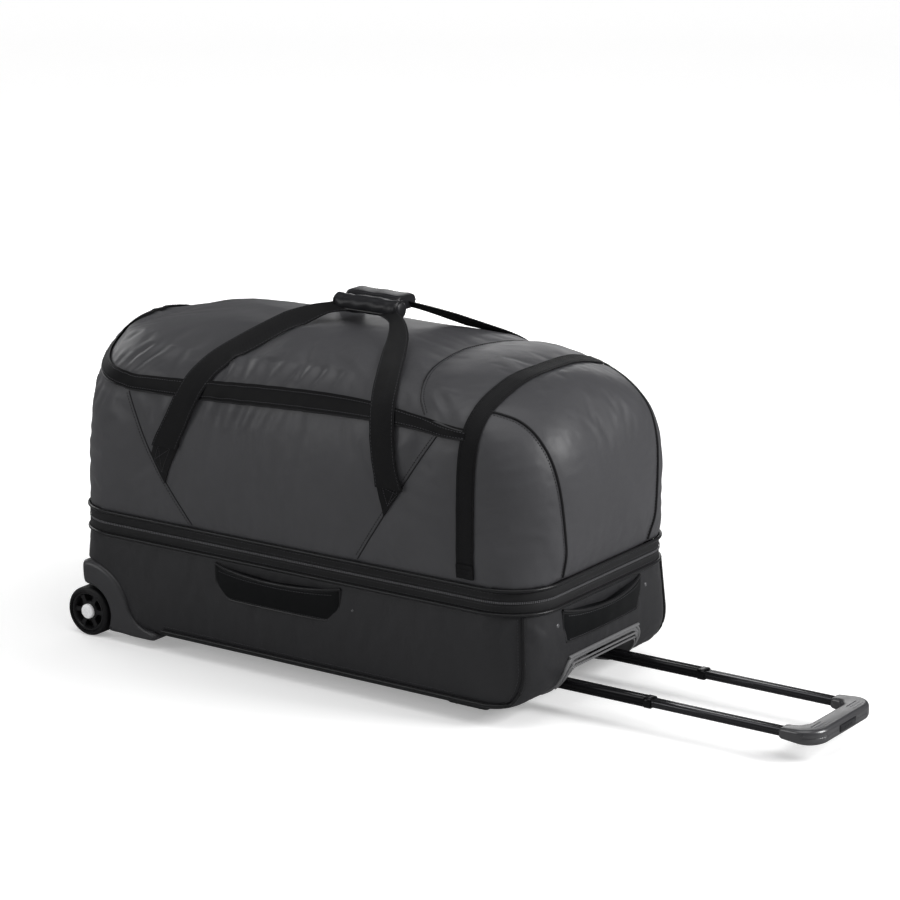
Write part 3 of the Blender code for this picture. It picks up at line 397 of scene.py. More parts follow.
def smooth_path(points, spacing, closed=False):
    """Catmull-Rom through points of any dimension, then even steps of about spacing."""
    p = np.array([tuple(q) for q in points], float)
    if closed:
        p = np.vstack([p[-1:], p, p[:2]])
    else:
        p = np.vstack([2 * p[0] - p[1], p, 2 * p[-1] - p[-2]])
    fine = []
    for k in range(1, len(p) - 2):
        for t in np.linspace(0, 1, 12, endpoint=False):
            a, b, c, d = p[k - 1 : k + 3]
            fine.append(0.5 * (2 * b + (c - a) * t + (2 * a - 5 * b + 4 * c - d) * t ** 2
                               + (3 * b - a - 3 * c + d) * t ** 3))
    fine.append(p[-2] if not closed else fine[0])
    fine = np.array(fine)
    length = run_along(fine[:, :3])
    count = max(int(round(length[-1] / spacing)), 2)
    stops = np.linspace(0, length[-1], count + 1)
    even = np.stack([np.interp(stops, length, fine[:, i]) for i in range(fine.shape[1])], 1)
    return even[:-1] if closed else even


def unit(v):
    return v / np.maximum(np.linalg.norm(v, axis=-1, keepdims=True), 1e-12)


def tangents(path, closed=False):
    if closed:
        return unit(np.roll(path, -1, 0) - np.roll(path, 1, 0))
    return unit(np.gradient(path, axis=0))


def sweep(path, normals, profile, closed=False):
    """A closed (across, out) profile carried along a path whose surface normals are given."""
    path, normals, profile = (np.asarray(a, float) for a in (path, normals, profile))
    along = tangents(path, closed)
    across = unit(np.cross(along, normals))
    out = unit(np.cross(across, along))
    points = path[:, None] + across[:, None] * profile[None, :, :1] + out[:, None] * profile[None, :, 1:]
    count, width = len(path), len(profile)
    faces = bands(count, width, closed)
    if not closed:
        faces += [tuple(range(width)), tuple(range((count - 1) * width, count * width))[::-1]]
    return mesh_of(points.reshape(-1, 3), faces, np.repeat(run_along(path), width),
                   np.tile(profile[:, 0], count))


def circle(radius, sides=10):
    return [(radius * cos(2 * pi * k / sides), radius * sin(2 * pi * k / sides)) for k in range(sides)]


def cord(path, radius, closed=False, sides=10, up=(0, 0, 1)):
    path = np.asarray(path, float)
    normals = np.tile(np.array(up, float), (len(path), 1))
    slanted = np.abs(np.sum(tangents(path, closed) * normals, 1)) > 0.9
    normals[slanted] = (0.31, 0.95, 0.05)
    return sweep(path, normals, circle(radius, sides), closed)


def merge(meshes):
    """One mesh from many."""
    bm = bmesh.new()
    for mesh in meshes:
        bm.from_mesh(mesh)
    whole = bpy.data.meshes.new("merged")
    bm.to_mesh(whole)
    bm.free()
    for mesh in meshes:
        bpy.data.meshes.remove(mesh)
    return whole


def turned(profile, centre, axis, sides=48):
    """A (radius, along) profile turned about an axis; it is a ring, or a solid where it meets the axis."""
    turn = np.array(Vector((0, 0, 1)).rotation_difference(Vector(axis)).to_matrix())
    rows = []
    for k in range(sides):
        a = 2 * pi * k / sides
        rows += [np.array(centre) + turn @ np.array((r * cos(a), r * sin(a), h)) for r, h in profile]
    hollow = profile[0][0] > 1e-9
    mesh = mesh_of(rows, bands(sides, len(profile), True, hollow))
    if not hollow:
        with edited(mesh) as bm:
            bmesh.ops.remove_doubles(bm, verts=bm.verts, dist=1e-6)
            bmesh.ops.recalc_face_normals(bm, faces=bm.faces)
    return mesh


def prism(outline, low, high, axis="y", rounding=0.0, segments=3):
    """A flat outline given depth along an axis, with its rims rounded."""
    place = {"x": lambda u, v, w: (w, u, v), "y": lambda u, v, w: (u, w, v),
             "z": lambda u, v, w: (u, v, w)}[axis]
    count = len(outline)
    faces = [tuple(range(count)), tuple(range(2 * count - 1, count - 1, -1))] + bands(2, count)
    mesh = mesh_of([place(u, v, w) for w in (low, high) for u, v in outline], faces)
    if rounding:
        with edited(mesh) as bm:
            sharp = [e for e in bm.edges if len(e.link_faces) == 2 and e.calc_face_angle() > radians(50)]
            bmesh.ops.bevel(bm, geom=sharp, offset=rounding, segments=segments, profile=0.5,
                            affect="EDGES", clamp_overlap=True)
    return mesh


def slab(centre, half_u, half_v, radius, steps, *depth):
    """A prism on a rounded rectangle about a centre."""
    corners = rounded_rectangle(half_u, half_v, radius, steps)
    return prism([(centre[0] + u, centre[1] + v) for u, v in corners], *depth)


def swap_mesh(obj, mesh):
    old, obj.data = obj.data, mesh
    bpy.data.meshes.remove(old)


def apply_modifiers(obj):
    """Replaces an object's mesh by its evaluated one and drops its modifiers."""
    bpy.context.view_layer.update()
    evaluated = obj.evaluated_get(bpy.context.evaluated_depsgraph_get())
    mesh = bpy.data.meshes.new_from_object(evaluated)
    obj.modifiers.clear()
    swap_mesh(obj, mesh)
    return obj


def modified(obj, kind, **settings):
    """Applies one modifier to an object's mesh."""
    modifier = obj.modifiers.new(kind.lower(), kind)
    for name, value in settings.items():
        setattr(modifier, name, value)
    return apply_modifiers(obj)


def cut(obj, tools, operation="DIFFERENCE"):
    """Boolean-cuts an object's mesh with meshes, which are used up."""
    for tool in tools:
        helper = bpy.data.objects.new("cutter", tool)
        bpy.context.scene.collection.objects.link(helper)
        modified(obj, "BOOLEAN", operation=operation, object=helper, solver="EXACT")
        bpy.data.objects.remove(helper, do_unlink=True)
        bpy.data.meshes.remove(tool)


def thicken(obj, thick):
    """Gives cloth its thickness inwards; the inner side takes the second material."""
    modified(obj, "SOLIDIFY", thickness=thick, offset=-1.0, material_offset=1, use_even_offset=False)


def subdivide(obj):
    return modified(obj, "SUBSURF", levels=1, render_levels=1)


# ---------------------------------------------------------------- the bag's surface

def plan_outline(left, right, half_width, r_left, r_right, corner, side, end=1):
    """A plan outline from the handle end round by the rear to the wheel end, then back by the front."""
    span = half_width - r_right
    half = [(right, span * k / end) for k in range(end)]
    half += arc((right - r_right, half_width - r_right), r_right, 0, 90, corner)
    start, stop = right - r_right, r_left - left
    half += [(start + (stop - start) * k / side, half_width) for k in range(1, side)]
    half += arc((r_left - left, half_width - r_left), r_left, 90, 180, corner)
    half += [(-left, (half_width - r_left) * (1 - k / end)) for k in range(1, end + 1)]
    return half + [(x, -y) for x, y in reversed(half[1:-1])]


def bag_level(phi):
    """(rise, half width, left, right, left radius, right radius, crown) at an angle up the side."""
    power = BAG_SQUARENESS
    across, up = max(cos(phi), 1e-6), max(sin(phi), 0.0)
    rho = (across ** power + up ** power) ** (-1 / power)
    c, s = (rho * across) ** (power / 2), (rho * up) ** (power / 2)
    rise = BAG_RISE * rho * up
    share = min(rise / BAG_TUCK, 1.0)
    tuck = 1 - share * share * (3 - 2 * share)
    half_width = (BAG_HALF_WIDTH + (BAND_HALF_WIDTH - BAG_HALF_WIDTH) * tuck) * rho * across
    found = []
    for end in (WHEEL_END, HANDLE_END):
        reach = end["reach"] - end["lean"] * (1 - c ** (2 / end["power"]))
        reach += (BAND_REACH - end["reach"]) * tuck
        low, high = end["corners"]
        radius = min(low + (high - low) * s + (BAND_CORNER - low) * tuck, half_width * 0.96)
        found.append((reach, radius))
    (left, r_left), (right, r_right) = found
    return rise, half_width, left, right, r_left, r_right, BAG_CROWN * s * s


def crown_z(x, y, rise, crown):
    across = max(0.0, 1 - (x / 0.370) ** 2)
    return BAND_TOP + rise + crown * across * max(0.0, 1 - (y / BAG_HALF_WIDTH) ** 2)


def section_point(x, phi, side):
    rise, half_width, left, right, r_left, r_right, crown = bag_level(phi)
    into = max(x - (right - r_right), 0.0) or max(-x - (left - r_left), 0.0)
    radius = r_right if x > 0 else r_left
    y = half_width - radius + sqrt(max(radius ** 2 - into ** 2, 0.0))
    return Vector((x, side * y, crown_z(x, y, rise, crown)))


def phi_at(x, z):
    low, high = 0.0, pi / 2
    for _ in range(40):
        middle = (low + high) / 2
        low, high = (middle, high) if section_point(x, middle, 1).z < z else (low, middle)
    return (low + high) / 2


def on_side(x, z, side):
    """The point of the bag's long side at a place along it and a height."""
    return section_point(x, phi_at(x, z), side)


def on_level(phi, turn_x):
    """The bag's outline at a level, from the hinge round the wheel end to the other side of the hinge."""
    rise, half_width, left, _, r_left, _, crown = bag_level(phi)
    points = []
    for x in np.linspace(turn_x, r_left - left, 60):
        points.append(section_point(x, phi, -1))
    for side, start in ((-1, 270), (1, 180)):
        for x, y in arc((r_left - left, side * (half_width - r_left)), r_left, start, start - 90, 18):
            points.append(Vector((x, y, crown_z(x, y, rise, crown))))
    for x in np.linspace(r_left - left, turn_x, 60):
        points.append(section_point(x, phi, 1))
    kept = [points[0]]
    for p in points[1:]:
        if (p - kept[-1]).length > 0.002:
            kept.append(p)
    return kept


def dome_mesh():
    """The whole upper bag as a closed solid; its top ring is bridged from side to side."""
    rings = []
    for phi in np.radians(np.r_[np.linspace(0, 36, 14), np.linspace(38, 60, 14), np.linspace(63, 88, 8)]):
        rise, half_width, left, right, r_left, r_right, crown = bag_level(phi)
        outline = plan_outline(left, right, half_width, r_left, r_right, 10, 24, 2)
        rings.append([(x, y, crown_z(x, y, rise, crown)) for x, y in outline])
    count, top = len(rings[0]), (len(rings) - 1) * len(rings[0])
    faces = bands(len(rings), count) + [tuple(range(count))[::-1]]
    for k in range(count // 2):
        corners = (top + k, top + k + 1, top + (count - k - 1) % count, top + (count - k) % count)
        face = tuple(dict.fromkeys(corners))
        if len(face) > 2:
            faces.append(face)
    return mesh_of([p for ring in rings for p in ring], faces)


# ---------------------------------------------------------------- cloth

def co_of(mesh, field="co"):
    """The points of a mesh, or their normals, as an array."""
    flat = np.zeros(len(mesh.vertices) * 3, np.float32)
    mesh.vertices.foreach_get(field, flat)
    return flat.reshape(-1, 3).astype(float)


def set_co(mesh, points):
    mesh.vertices.foreach_set("co", np.asarray(points, np.float32).ravel())
    mesh.update()


def remesh(obj, size):
    """Even small faces all over a solid, a little smoothed."""
    modified(obj, "REMESH", mode="VOXEL", voxel_size=size)
    return modified(obj, "SMOOTH", factor=0.5, iterations=4)


def bisect(obj, place, normal, clear_outer=False, clear_inner=False, keep=None):
    """Cuts an object along a plane and drops a side of it, or the faces that keep turns down."""
    with edited(obj.data) as bm:
        bmesh.ops.bisect_plane(bm, geom=bm.verts[:] + bm.edges[:] + bm.faces[:], dist=1e-5, plane_co=place,
                               plane_no=normal, clear_outer=clear_outer, clear_inner=clear_inner)
        if keep:
            dropped = [f for f in bm.faces if not keep(f.calc_center_median())]
            bmesh.ops.delete(bm, geom=dropped, context="FACES")


def distance_to(points, lines):
    """Each point's distance to the nearest of some polylines."""
    samples = np.vstack([smooth_path(line, 0.004) for line in lines])
    found = np.full(len(points), 9.0)
    for start in range(0, len(samples), 64):
        block = samples[start : start + 64]
        found = np.minimum(found, np.linalg.norm(points[:, None] - block[None], axis=2).min(1))
    return found


def ease(values, low, high):
    t = np.clip((values - low) / (high - low), 0, 1)
    return t * t * (3 - 2 * t)


SETTLING_FRAMES = 20
CLOTH = {"quality": 5, "mass": 0.25, "tension_stiffness": 10, "compression_stiffness": 10,
         "bending_stiffness": 0.6, "vertex_group_mass": "pinned", "vertex_group_shrink": "full",
         "shrink_min": -0.004, "use_pressure": True}


def settle_cloth(obj, pinned, full, pressure, cap, spare):
    """Lets a cloth skin relax between its seams, with spare cloth puckering where full is high. No
    point moves further than cap."""
    for name, values in (("pinned", pinned), ("full", full)):
        group = obj.vertex_groups.new(name=name)
        levels = np.round(np.clip(values, 0, 1) * 10).astype(int)
        for level in range(1, 11):
            picked = np.nonzero(levels == level)[0]
            if len(picked):
                group.add([int(i) for i in picked], level / 10, "REPLACE")
    before = co_of(obj.data)
    cloth = obj.modifiers.new("settle", "CLOTH")
    for name, value in {**CLOTH, "shrink_max": -spare, "uniform_pressure_force": pressure}.items():
        setattr(cloth.settings, name, value)
    cloth.settings.effector_weights.gravity = 0
    cloth.collision_settings.use_collision = False
    cloth.point_cache.frame_start, cloth.point_cache.frame_end = 1, SETTLING_FRAMES
    scene = bpy.context.scene
    for frame_number in range(1, SETTLING_FRAMES + 1):
        scene.frame_set(frame_number)
    after = co_of(obj.evaluated_get(bpy.context.evaluated_depsgraph_get()).data)
    obj.modifiers.clear()
    obj.vertex_groups.clear()
    scene.frame_set(1)
    move = after - before
    size = np.linalg.norm(move, axis=1, keepdims=True)
    move *= np.minimum(1, cap / np.maximum(size, 1e-9))
    set_co(obj.data, before + np.nan_to_num(move))


def wander(points, size, seed):
    """Smooth noise from -1 to 1 at each point, made of a few turned waves."""
    random = np.random.default_rng(seed)
    total = np.zeros(len(points))
    for _ in range(7):
        direction = unit(random.normal(size=3))
        wave = size * random.uniform(0.7, 1.5)
        total += np.sin(points @ direction * 2 * pi / wave + random.uniform(0, 2 * pi))
    return total / 4.0


class Skin:
    """A finished cloth surface that trim is laid on."""

    def __init__(self, obj):
        self.tree = BVHTree.FromObject(obj, bpy.context.evaluated_depsgraph_get())

    def lay(self, points, lift=0.0, smooth=2):
        """Nearest points on the skin and calmed normals, for a row of points."""
        found, normals = [], []
        for p in points:
            place, normal, _, _ = self.tree.find_nearest(Vector(p))
            found.append(place)
            normals.append(normal)
        found, normals = np.array(found), np.array(normals)
        for _ in range(smooth):
            if len(normals) > 2:
                normals[1:-1] = unit(normals[:-2] + normals[1:-1] + normals[2:])
        return found + normals * lift, normals


def strip(rows, thick, lift=0.0, closed=False):
    """A band of cloth laid on rows of (point, normal) pairs, with its long edges thinned."""
    width = len(rows[0])
    points, along, across, length = [], [], [], 0.0
    for i, row in enumerate(rows):
        middle = np.array(row[width // 2][0])
        if i:
            length += np.linalg.norm(middle - np.array(rows[i - 1][width // 2][0]))
        span = np.linalg.norm(np.array(row[-1][0]) - np.array(row[0][0]))
        numbered = list(enumerate(row))
        for part, at_rim, between in ((numbered, 0.725, 1.0), (numbered[::-1], 0.275, 0.0)):
            for k, (p, n) in part:
                height = lift + thick * (at_rim if k in (0, width - 1) else between)
                points.append(np.array(p) + np.array(n) * height)
                along.append(length)
                across.append(span * (k / (width - 1) - 0.5))
    ring, count = 2 * width, len(rows)
    faces = bands(count, ring, closed)
    if not closed:
        faces += [(start + k, start + k + 1, start + ring - 2 - k, start + ring - 1 - k)
                  for start in (0, (count - 1) * ring) for k in range(width - 1)]
    return mesh_of(points, faces, along, across)


def along_path(values, reach, where):
    """Values given along a path, read at other distances along it."""
    return np.stack([np.interp(where, reach[: len(values)], values[:, i]) for i in range(3)], 1)


def stitches(path, normals, pitch=0.0042, length=0.0030, radius=0.00042, lift=0.0002, closed=False):
    """A row of thread stitches along a path."""
    path, normals = np.asarray(path, float), np.asarray(normals, float)
    if closed:
        path, normals = np.vstack([path, path[:1]]), np.vstack([normals, normals[:1]])
    reach = run_along(path)
    stops = np.arange(pitch / 2, reach[-1] - pitch / 2, pitch)
    centre, start, end = (along_path(path, reach, stops + shift * length / 2) for shift in (0, -1, 1))
    along = unit(end - start)
    out = unit(along_path(normals, reach, stops))
    side = unit(np.cross(along, out))
    template = [(-1, 0, -0.4), (-0.7, -1, 0.2), (-0.7, 1, 0.2), (-0.6, 0, 1), (0.6, 0, 1), (0.7, 1, 0.2),
                (0.7, -1, 0.2), (1, 0, -0.4)]
    shape = [(0, 2, 3), (0, 3, 1), (1, 3, 4, 6), (3, 2, 5, 4), (7, 4, 5), (7, 6, 4)]
    points, faces = [], []
    for k in range(len(stops)):
        base = len(points)
        points += [centre[k] + along[k] * a * length / 2 + side[k] * s * radius + out[k] * (lift + o * radius)
                   for a, s, o in template]
        faces += [tuple(base + i for i in face) for face in shape]
    return mesh_of(points, faces)


def zip_teeth(path, normals, pitch=0.0026, size=(0.0011, 0.0032, 0.0011)):
    """A row of interlocking teeth across a path, each narrower at its top."""
    path, normals = np.asarray(path, float), np.asarray(normals, float)
    reach = run_along(path)
    stops = np.arange(pitch, reach[-1] - pitch, pitch)
    centre, out = along_path(path, reach, stops), unit(along_path(normals, reach, stops))
    along = unit(np.gradient(centre, axis=0))
    side = np.cross(along, out)
    points, faces = [], []
    box_faces = [(0, 1, 3, 2), (4, 6, 7, 5), (0, 4, 5, 1), (2, 3, 7, 6), (0, 2, 6, 4), (1, 5, 7, 3)]
    corners = [(a, s, o, 0.7 if o else 1.0) for a in (-0.5, 0.5) for s in (-0.5, 0.5) for o in (0.0, 1.0)]
    for k in range(len(stops)):
        base = len(points)
        points += [centre[k] + along[k] * a * size[0] * narrow + side[k] * s * size[1] * narrow
                   + out[k] * o * size[2] for a, s, o, narrow in corners]
        faces += [tuple(base + i for i in face) for face in box_faces]
    return mesh_of(points, faces)


# ---------------------------------------------------------------- the upper bag's cloth

def zip_level(x, y=0.17):
    """Height of the lid's zip: it bows up along the long sides and climbs over the wheel end."""
    x = np.asarray(x, float)
    rise = 0.016 * ease(x, -0.280, 0.100)
    fall = 0.016 * (np.clip(x - 0.100, 0, None) / 0.175) ** 2
    climb = 0.064 * ease(0.172 - np.abs(y), 0.0, 0.142) * ease(-x, 0.270, 0.345)
    return 0.367 + rise - fall + climb


def flap_half_width(x):
    """Half the storm flap's width, which runs to a point under the strap over the end."""
    return 0.0105 + 0.003 * ease(x, -0.270, -0.050) - 0.009 * (max(x - 0.030, 0) / 0.245) ** 1.8


def mirror_y(points):
    return [Vector((p[0], -p[1], p[2])) for p in points]


def side_seam(places):
    return [[on_side(x, z, s) for x, z in places] for s in (-1, 1)]


DIAGONALS = side_seam(smooth_path(((-0.265, 0.356, 0), (-0.222, 0.270, 0), (-0.160, 0.187, 0)), 0.015)[:, :2])
DIAGONALS += side_seam(smooth_path(((0.233, 0.367, 0), (0.163, 0.263, 0), (0.112, 0.187, 0)), 0.015)[:, :2])
END_CAP = [Vector(p) for p in ((0.286, -0.143, 0.401), (0.329, -0.129, 0.388), (0.364, -0.124, 0.354),
                               (0.379, -0.117, 0.301), (0.383, -0.108, 0.226), (0.377, -0.103, 0.187))]
END_CAPS = [END_CAP, mirror_y(END_CAP)]
WHEEL_CAP = [Vector((-0.378 + 0.010 * t, -0.098 - 0.052 * t ** 2, 0.188 + 0.176 * t))
             for t in np.linspace(0, 1, 9)]
WHEEL_CAPS = [WHEEL_CAP, mirror_y(WHEEL_CAP)]
LID_ARC = [Vector(p) for p in ((0.208, -0.170, 0.390), (0.190, -0.152, 0.410), (0.169, -0.095, 0.430),
                               (0.157, -0.020, 0.436))]
LID_ARC += mirror_y(LID_ARC[::-1])
SPLIT_X = STRAP_X - 0.010
LID_LINE = [Vector((p.x, p.y, zip_level(p.x, p.y))) for p in on_level(phi_at(0.0, SEAM_Z), SPLIT_X)]
STRAP_PHI = [phi_at(STRAP_X, BAND_TOP + 0.010) + (pi / 2 - phi_at(STRAP_X, BAND_TOP + 0.010)) * k / 40
             for k in range(40)]
STRAP_LINE = [section_point(STRAP_X, phi, -1) for phi in STRAP_PHI] + [
    section_point(STRAP_X, phi, 1) for phi in STRAP_PHI[::-1]]


def make_bag_skin():
    obj = remesh(add_object("bag_skin", dome_mesh(), M["bag"]), BAG_VOXEL)
    bisect(obj, (0, 0, BAND_TOP + 0.0006), (0, 0, 1), clear_inner=True)
    points = co_of(obj.data)
    seams = DIAGONALS + END_CAPS + WHEEL_CAPS + [LID_ARC]
    to_seam = np.minimum(distance_to(points, seams), distance_to(points, [STRAP_LINE]))
    off_zip = np.abs(points[:, 2] - zip_level(points[:, 0], points[:, 1]))
    off_zip += np.where(points[:, 0] > STRAP_X, 0.2, 0)
    to_band = points[:, 2] - BAND_TOP
    to_edge = np.minimum(np.minimum(to_seam, off_zip), to_band)
    free = ease(to_edge, 0.002, 0.045)
    outward = unit(co_of(obj.data, "normal"))
    soft = 0.0022 * wander(points, 0.26, 5) + 0.0011 * wander(points, 0.10, 8)
    around = np.where(np.abs(points[:, 1]) > 0.14, points[:, 0], points[:, 1])
    # Spare cloth gathers along the zip in short uneven folds, which lean and run further on the lid
    above = ease(points[:, 2] - zip_level(points[:, 0], points[:, 1]), 0.0, 0.02)
    slant = (12 + 26 * above) * (points[:, 2] - 0.36) * np.sign(around)
    phase = around * 2 * pi / 0.034 + 5.6 * wander(points, 0.12, 3) + slant
    gathers = np.sign(np.sin(phase)) * np.abs(np.sin(phase)) ** 0.8
    strong = 0.12 + 0.88 * ease(wander(points * (1, 1, 0.3), 0.11, 14), -0.25, 0.55)
    near_zip = np.exp(-((off_zip - 0.027 - 0.005 * above) / (0.019 + 0.006 * above)) ** 2)
    near_zip *= ease(to_band, 0.03, 0.09) * (1 - ease(off_zip, 0.042, 0.060)) * strong
    near_seam = np.exp(-(to_seam / 0.012) ** 2)
    crease = np.abs(wander(points * (1, 1, 2.2), 0.085, 21)) ** 0.8
    offset = free * (soft - 0.0014 * crease) + 0.0020 * gathers * near_zip * ease(to_seam, 0.0, 0.03)
    offset += 0.0026 * ease(to_seam, 0.003, 0.022) * free - 0.0010 * near_seam
    points += outward * offset[:, None]
    set_co(obj.data, points)
    pinned = np.maximum(np.where(to_seam < 0.0035, 1.0, 0.0), np.where(to_band < 0.004, 1.0, 0.0))
    pinned = np.maximum(pinned, np.where(off_zip < 0.015, 1.0, 0.0))
    full = np.clip(np.exp(-((off_zip - 0.02) / 0.045) ** 2) + 0.5 * np.exp(-(to_seam / 0.02) ** 2), 0, 1)
    settle_cloth(obj, pinned, full, 3.0, 0.009, 0.028)
    return subdivide(obj)


BAG = make_bag_skin()
SKIN = Skin(BAG)


def split_bag():
    """Parts the lid from the bag along the zip's line, which is straightened for the cut."""
    lid = bpy.data.objects.new("lid_cloth", BAG.data.copy())
    COLLECTION.objects.link(lid)
    body = BAG
    body.name = "bag_body_cloth"
    for piece, is_lid in ((lid, True), (body, False)):
        points = co_of(piece.data)
        set_co(piece.data, points + np.outer(SEAM_Z - zip_level(points[:, 0], points[:, 1]), (0, 0, 1)))
        bisect(piece, (0, 0, SEAM_Z), (0, 0, 1))
        bisect(piece, (SPLIT_X, 0, 0), (1, 0, 0),
               keep=lambda p, lid_side=is_lid: (p.z > SEAM_Z and p.x < SPLIT_X) == lid_side)
        points = co_of(piece.data)
        set_co(piece.data, points - np.outer(SEAM_Z - zip_level(points[:, 0], points[:, 1]), (0, 0, 1)))
        piece.data.materials.clear()
        piece.data.materials.append(M["bag"])
        piece.data.materials.append(M["lining"])
        thicken(piece, CLOTH_THICK)
        piece.data.shade_smooth()
    return lid, body


def ride(obj, body, *nodes):
    """Moves a piece from the bag's own middle to the frame's origin and lets it ride a body."""
    obj.data.transform(Matrix.Translation(MIDDLE))
    if nodes:
        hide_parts(*nodes)
    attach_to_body(obj, body)


def attach(name, mesh, material, body, *nodes):
    """Makes a piece that rides a body in place of some CAD nodes."""
    ride(add_object(name, mesh, M[material]), body, *nodes)


def bend(obj, a, b, start, end, *nodes):
    """Moves a piece from the bag's own middle to the frame's origin, hides the CAD nodes it stands for and
    bakes its place into its mesh.
    """
    obj.data.transform(Matrix.Translation(MIDDLE))
    if nodes:
        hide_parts(*nodes)
    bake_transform(obj)


def bend_at_lid(obj, *nodes):
    bend(obj, "upper_bag", "lid", (SPLIT_X - 0.002, 0, SEAM_Z), (LID_HINGE.x - 0.044, 0, SEAM_Z), *nodes)


lid_cloth, bag_cloth = split_bag()
bend_at_lid(lid_cloth, "lid_panel")
ride(bag_cloth, "upper_bag", "main_shell")


def seam(name, line, lift, radius, at_lid=False):
    """A sewn seam: a raised fold of cloth with a row of stitches beside it."""
    path, normals = SKIN.lay(smooth_path(line, 0.004), lift)
    beside = unit(np.cross(tangents(path), normals))
    fold = add_object(name, sweep(path, normals, circle(radius, 8)), M["piping"])
    thread = stitches(*SKIN.lay(path + beside * 0.0042, STITCH_LIFT, 0))
    for piece in (fold, add_object(name + "_stitches", thread, M["seam"])):
        if at_lid:
            bend_at_lid(piece)
        else:
            ride(piece, "upper_bag")


for label, seam_lines, lift, radius in (("diagonal_seam_", DIAGONALS, 0.0, 0.0009),
                                        ("end_cap_piping_", END_CAPS, 0.0008, 0.0016),
                                        ("wheel_end_seam_", WHEEL_CAPS, 0.0, 0.0010)):
    for k, line in enumerate(seam_lines):
        seam(label + str(k), line, lift, radius)
seam("lid_arc_seam", LID_ARC, 0.0, 0.0009, at_lid=True)


def level_rows(count=7):
    """Rows across the zip flap, from the front end round the wheel end to the rear one."""
    path = smooth_path(LID_LINE, 0.006)
    found, normals = SKIN.lay(path, 0.0, 4)
    along = tangents(found)
    up = unit(np.cross(normals, along))
    up[up[:, 2] < 0] *= -1
    rows = []
    for k in range(len(found)):
        half = flap_half_width(found[k][0])
        row = [found[k] + up[k] * half * share for share in np.linspace(-1, 1, count)]
        rows.append(SKIN.lay(row, 0.0, 1))
    return [list(zip(*row)) for row in rows]


def make_lid_zip():
    """The storm flap, and the two halves of the zip it hides."""
    flap = [[(p + n * 0.0004, n) for p, n in row] for row in level_rows()]
    bend_at_lid(add_object("storm_flap", strip(flap, 0.0019, 0.0012), M["flap"]), "lid_storm_flap")
    edges = []
    for column in (5, 1):
        path = np.array([row[column][0] for row in flap])
        normals = np.array([row[column][1] for row in flap])
        edges.append(stitches(path + normals * 0.0031, normals))
    bend_at_lid(add_object("storm_flap_stitches", merge(edges), M["thread"]))
    rim_path = np.array([row[0][0] + row[0][1] * 0.0020 for row in flap])
    rim_normals = np.array([row[0][1] for row in flap])
    bend_at_lid(add_object("storm_flap_edge", sweep(rim_path, rim_normals, circle(0.0012, 8)), M["piping"]))
    for name, shift in (("bag", -0.0022), ("lid", 0.0022)):
        line, normals = SKIN.lay(smooth_path(np.array(LID_LINE) + (0, 0, shift), 0.005), -0.0020, 3)
        tape_rows = [[(p + np.array((0.0, 0.0, rise)), n) for rise in (-0.008, 0.0, 0.008)]
                     for p, n in zip(line, normals)]
        web = add_object(f"lid_zip_tape_{name}", strip(tape_rows, 0.0008, -0.0010), M["tape"])
        teeth = add_object(f"lid_zip_teeth_{name}", zip_teeth(line, normals), M["teeth"])
        for piece in (web, teeth):
            if name == "lid":
                bend_at_lid(piece)
            else:
                ride(piece, "upper_bag")


make_lid_zip()


def make_end_strap():
    """Webbing over the bag beside the lid, ending under stitched patches at the band."""
    path = smooth_path(STRAP_LINE, 0.006)
    rows = []
    for p in path:
        row = [(STRAP_X + s * STRAP_WIDTH, p[1], p[2]) for s in (-0.5, -0.3, 0, 0.3, 0.5)]
        found, normals = SKIN.lay(row, 0.0, 0)
        rows.append(list(zip(found, [unit(normals.mean(0))] * 5)))
    attach("over_strap", strip(rows, WEBBING_THICK, 0.0006), "webbing", "upper_bag", "end_strap")
    lines = []
    for column in (1, 3):
        line = np.array([(row[column][0] * 0.6 + row[0 if column == 1 else 4][0] * 0.4) for row in rows])
        normals = np.array([row[column][1] for row in rows])
        lines.append(stitches(line + normals * (WEBBING_THICK + 0.0006), normals))
    for end in (rows[:4], rows[-4:]):
        patch = [[(p + n * (WEBBING_THICK + 0.0006), n) for p, n in row] for row in end]
        lines.append(strip(patch, 0.0012))
        for row in patch[:4]:
            line = smooth_path([p + n * 0.0014 for p, n in row], 0.004)
            lines.append(stitches(line, np.tile(row[2][1], (len(line), 1)), 0.0034))
    attach("over_strap_stitches", merge(lines), "webbing", "upper_bag")


make_end_strap()


# ---------------------------------------------------------------- the zip band and its piping

def band_path(offset, z):
    """The band's outline at a height, an offset further out, with its outward directions."""
    reach = BAND_REACH + offset
    corner = BAND_CORNER + offset
    outline = plan_outline(reach, reach, BAND_HALF_WIDTH + offset, corner, corner, 12, 30, 6)
    points = np.array([(x, y, z) for x, y in outline])
    out = np.cross(tangents(points, True), (0, 0, 1))
    out *= np.sign(np.sum(out * points, 1))[:, None]
    return points, unit(out)


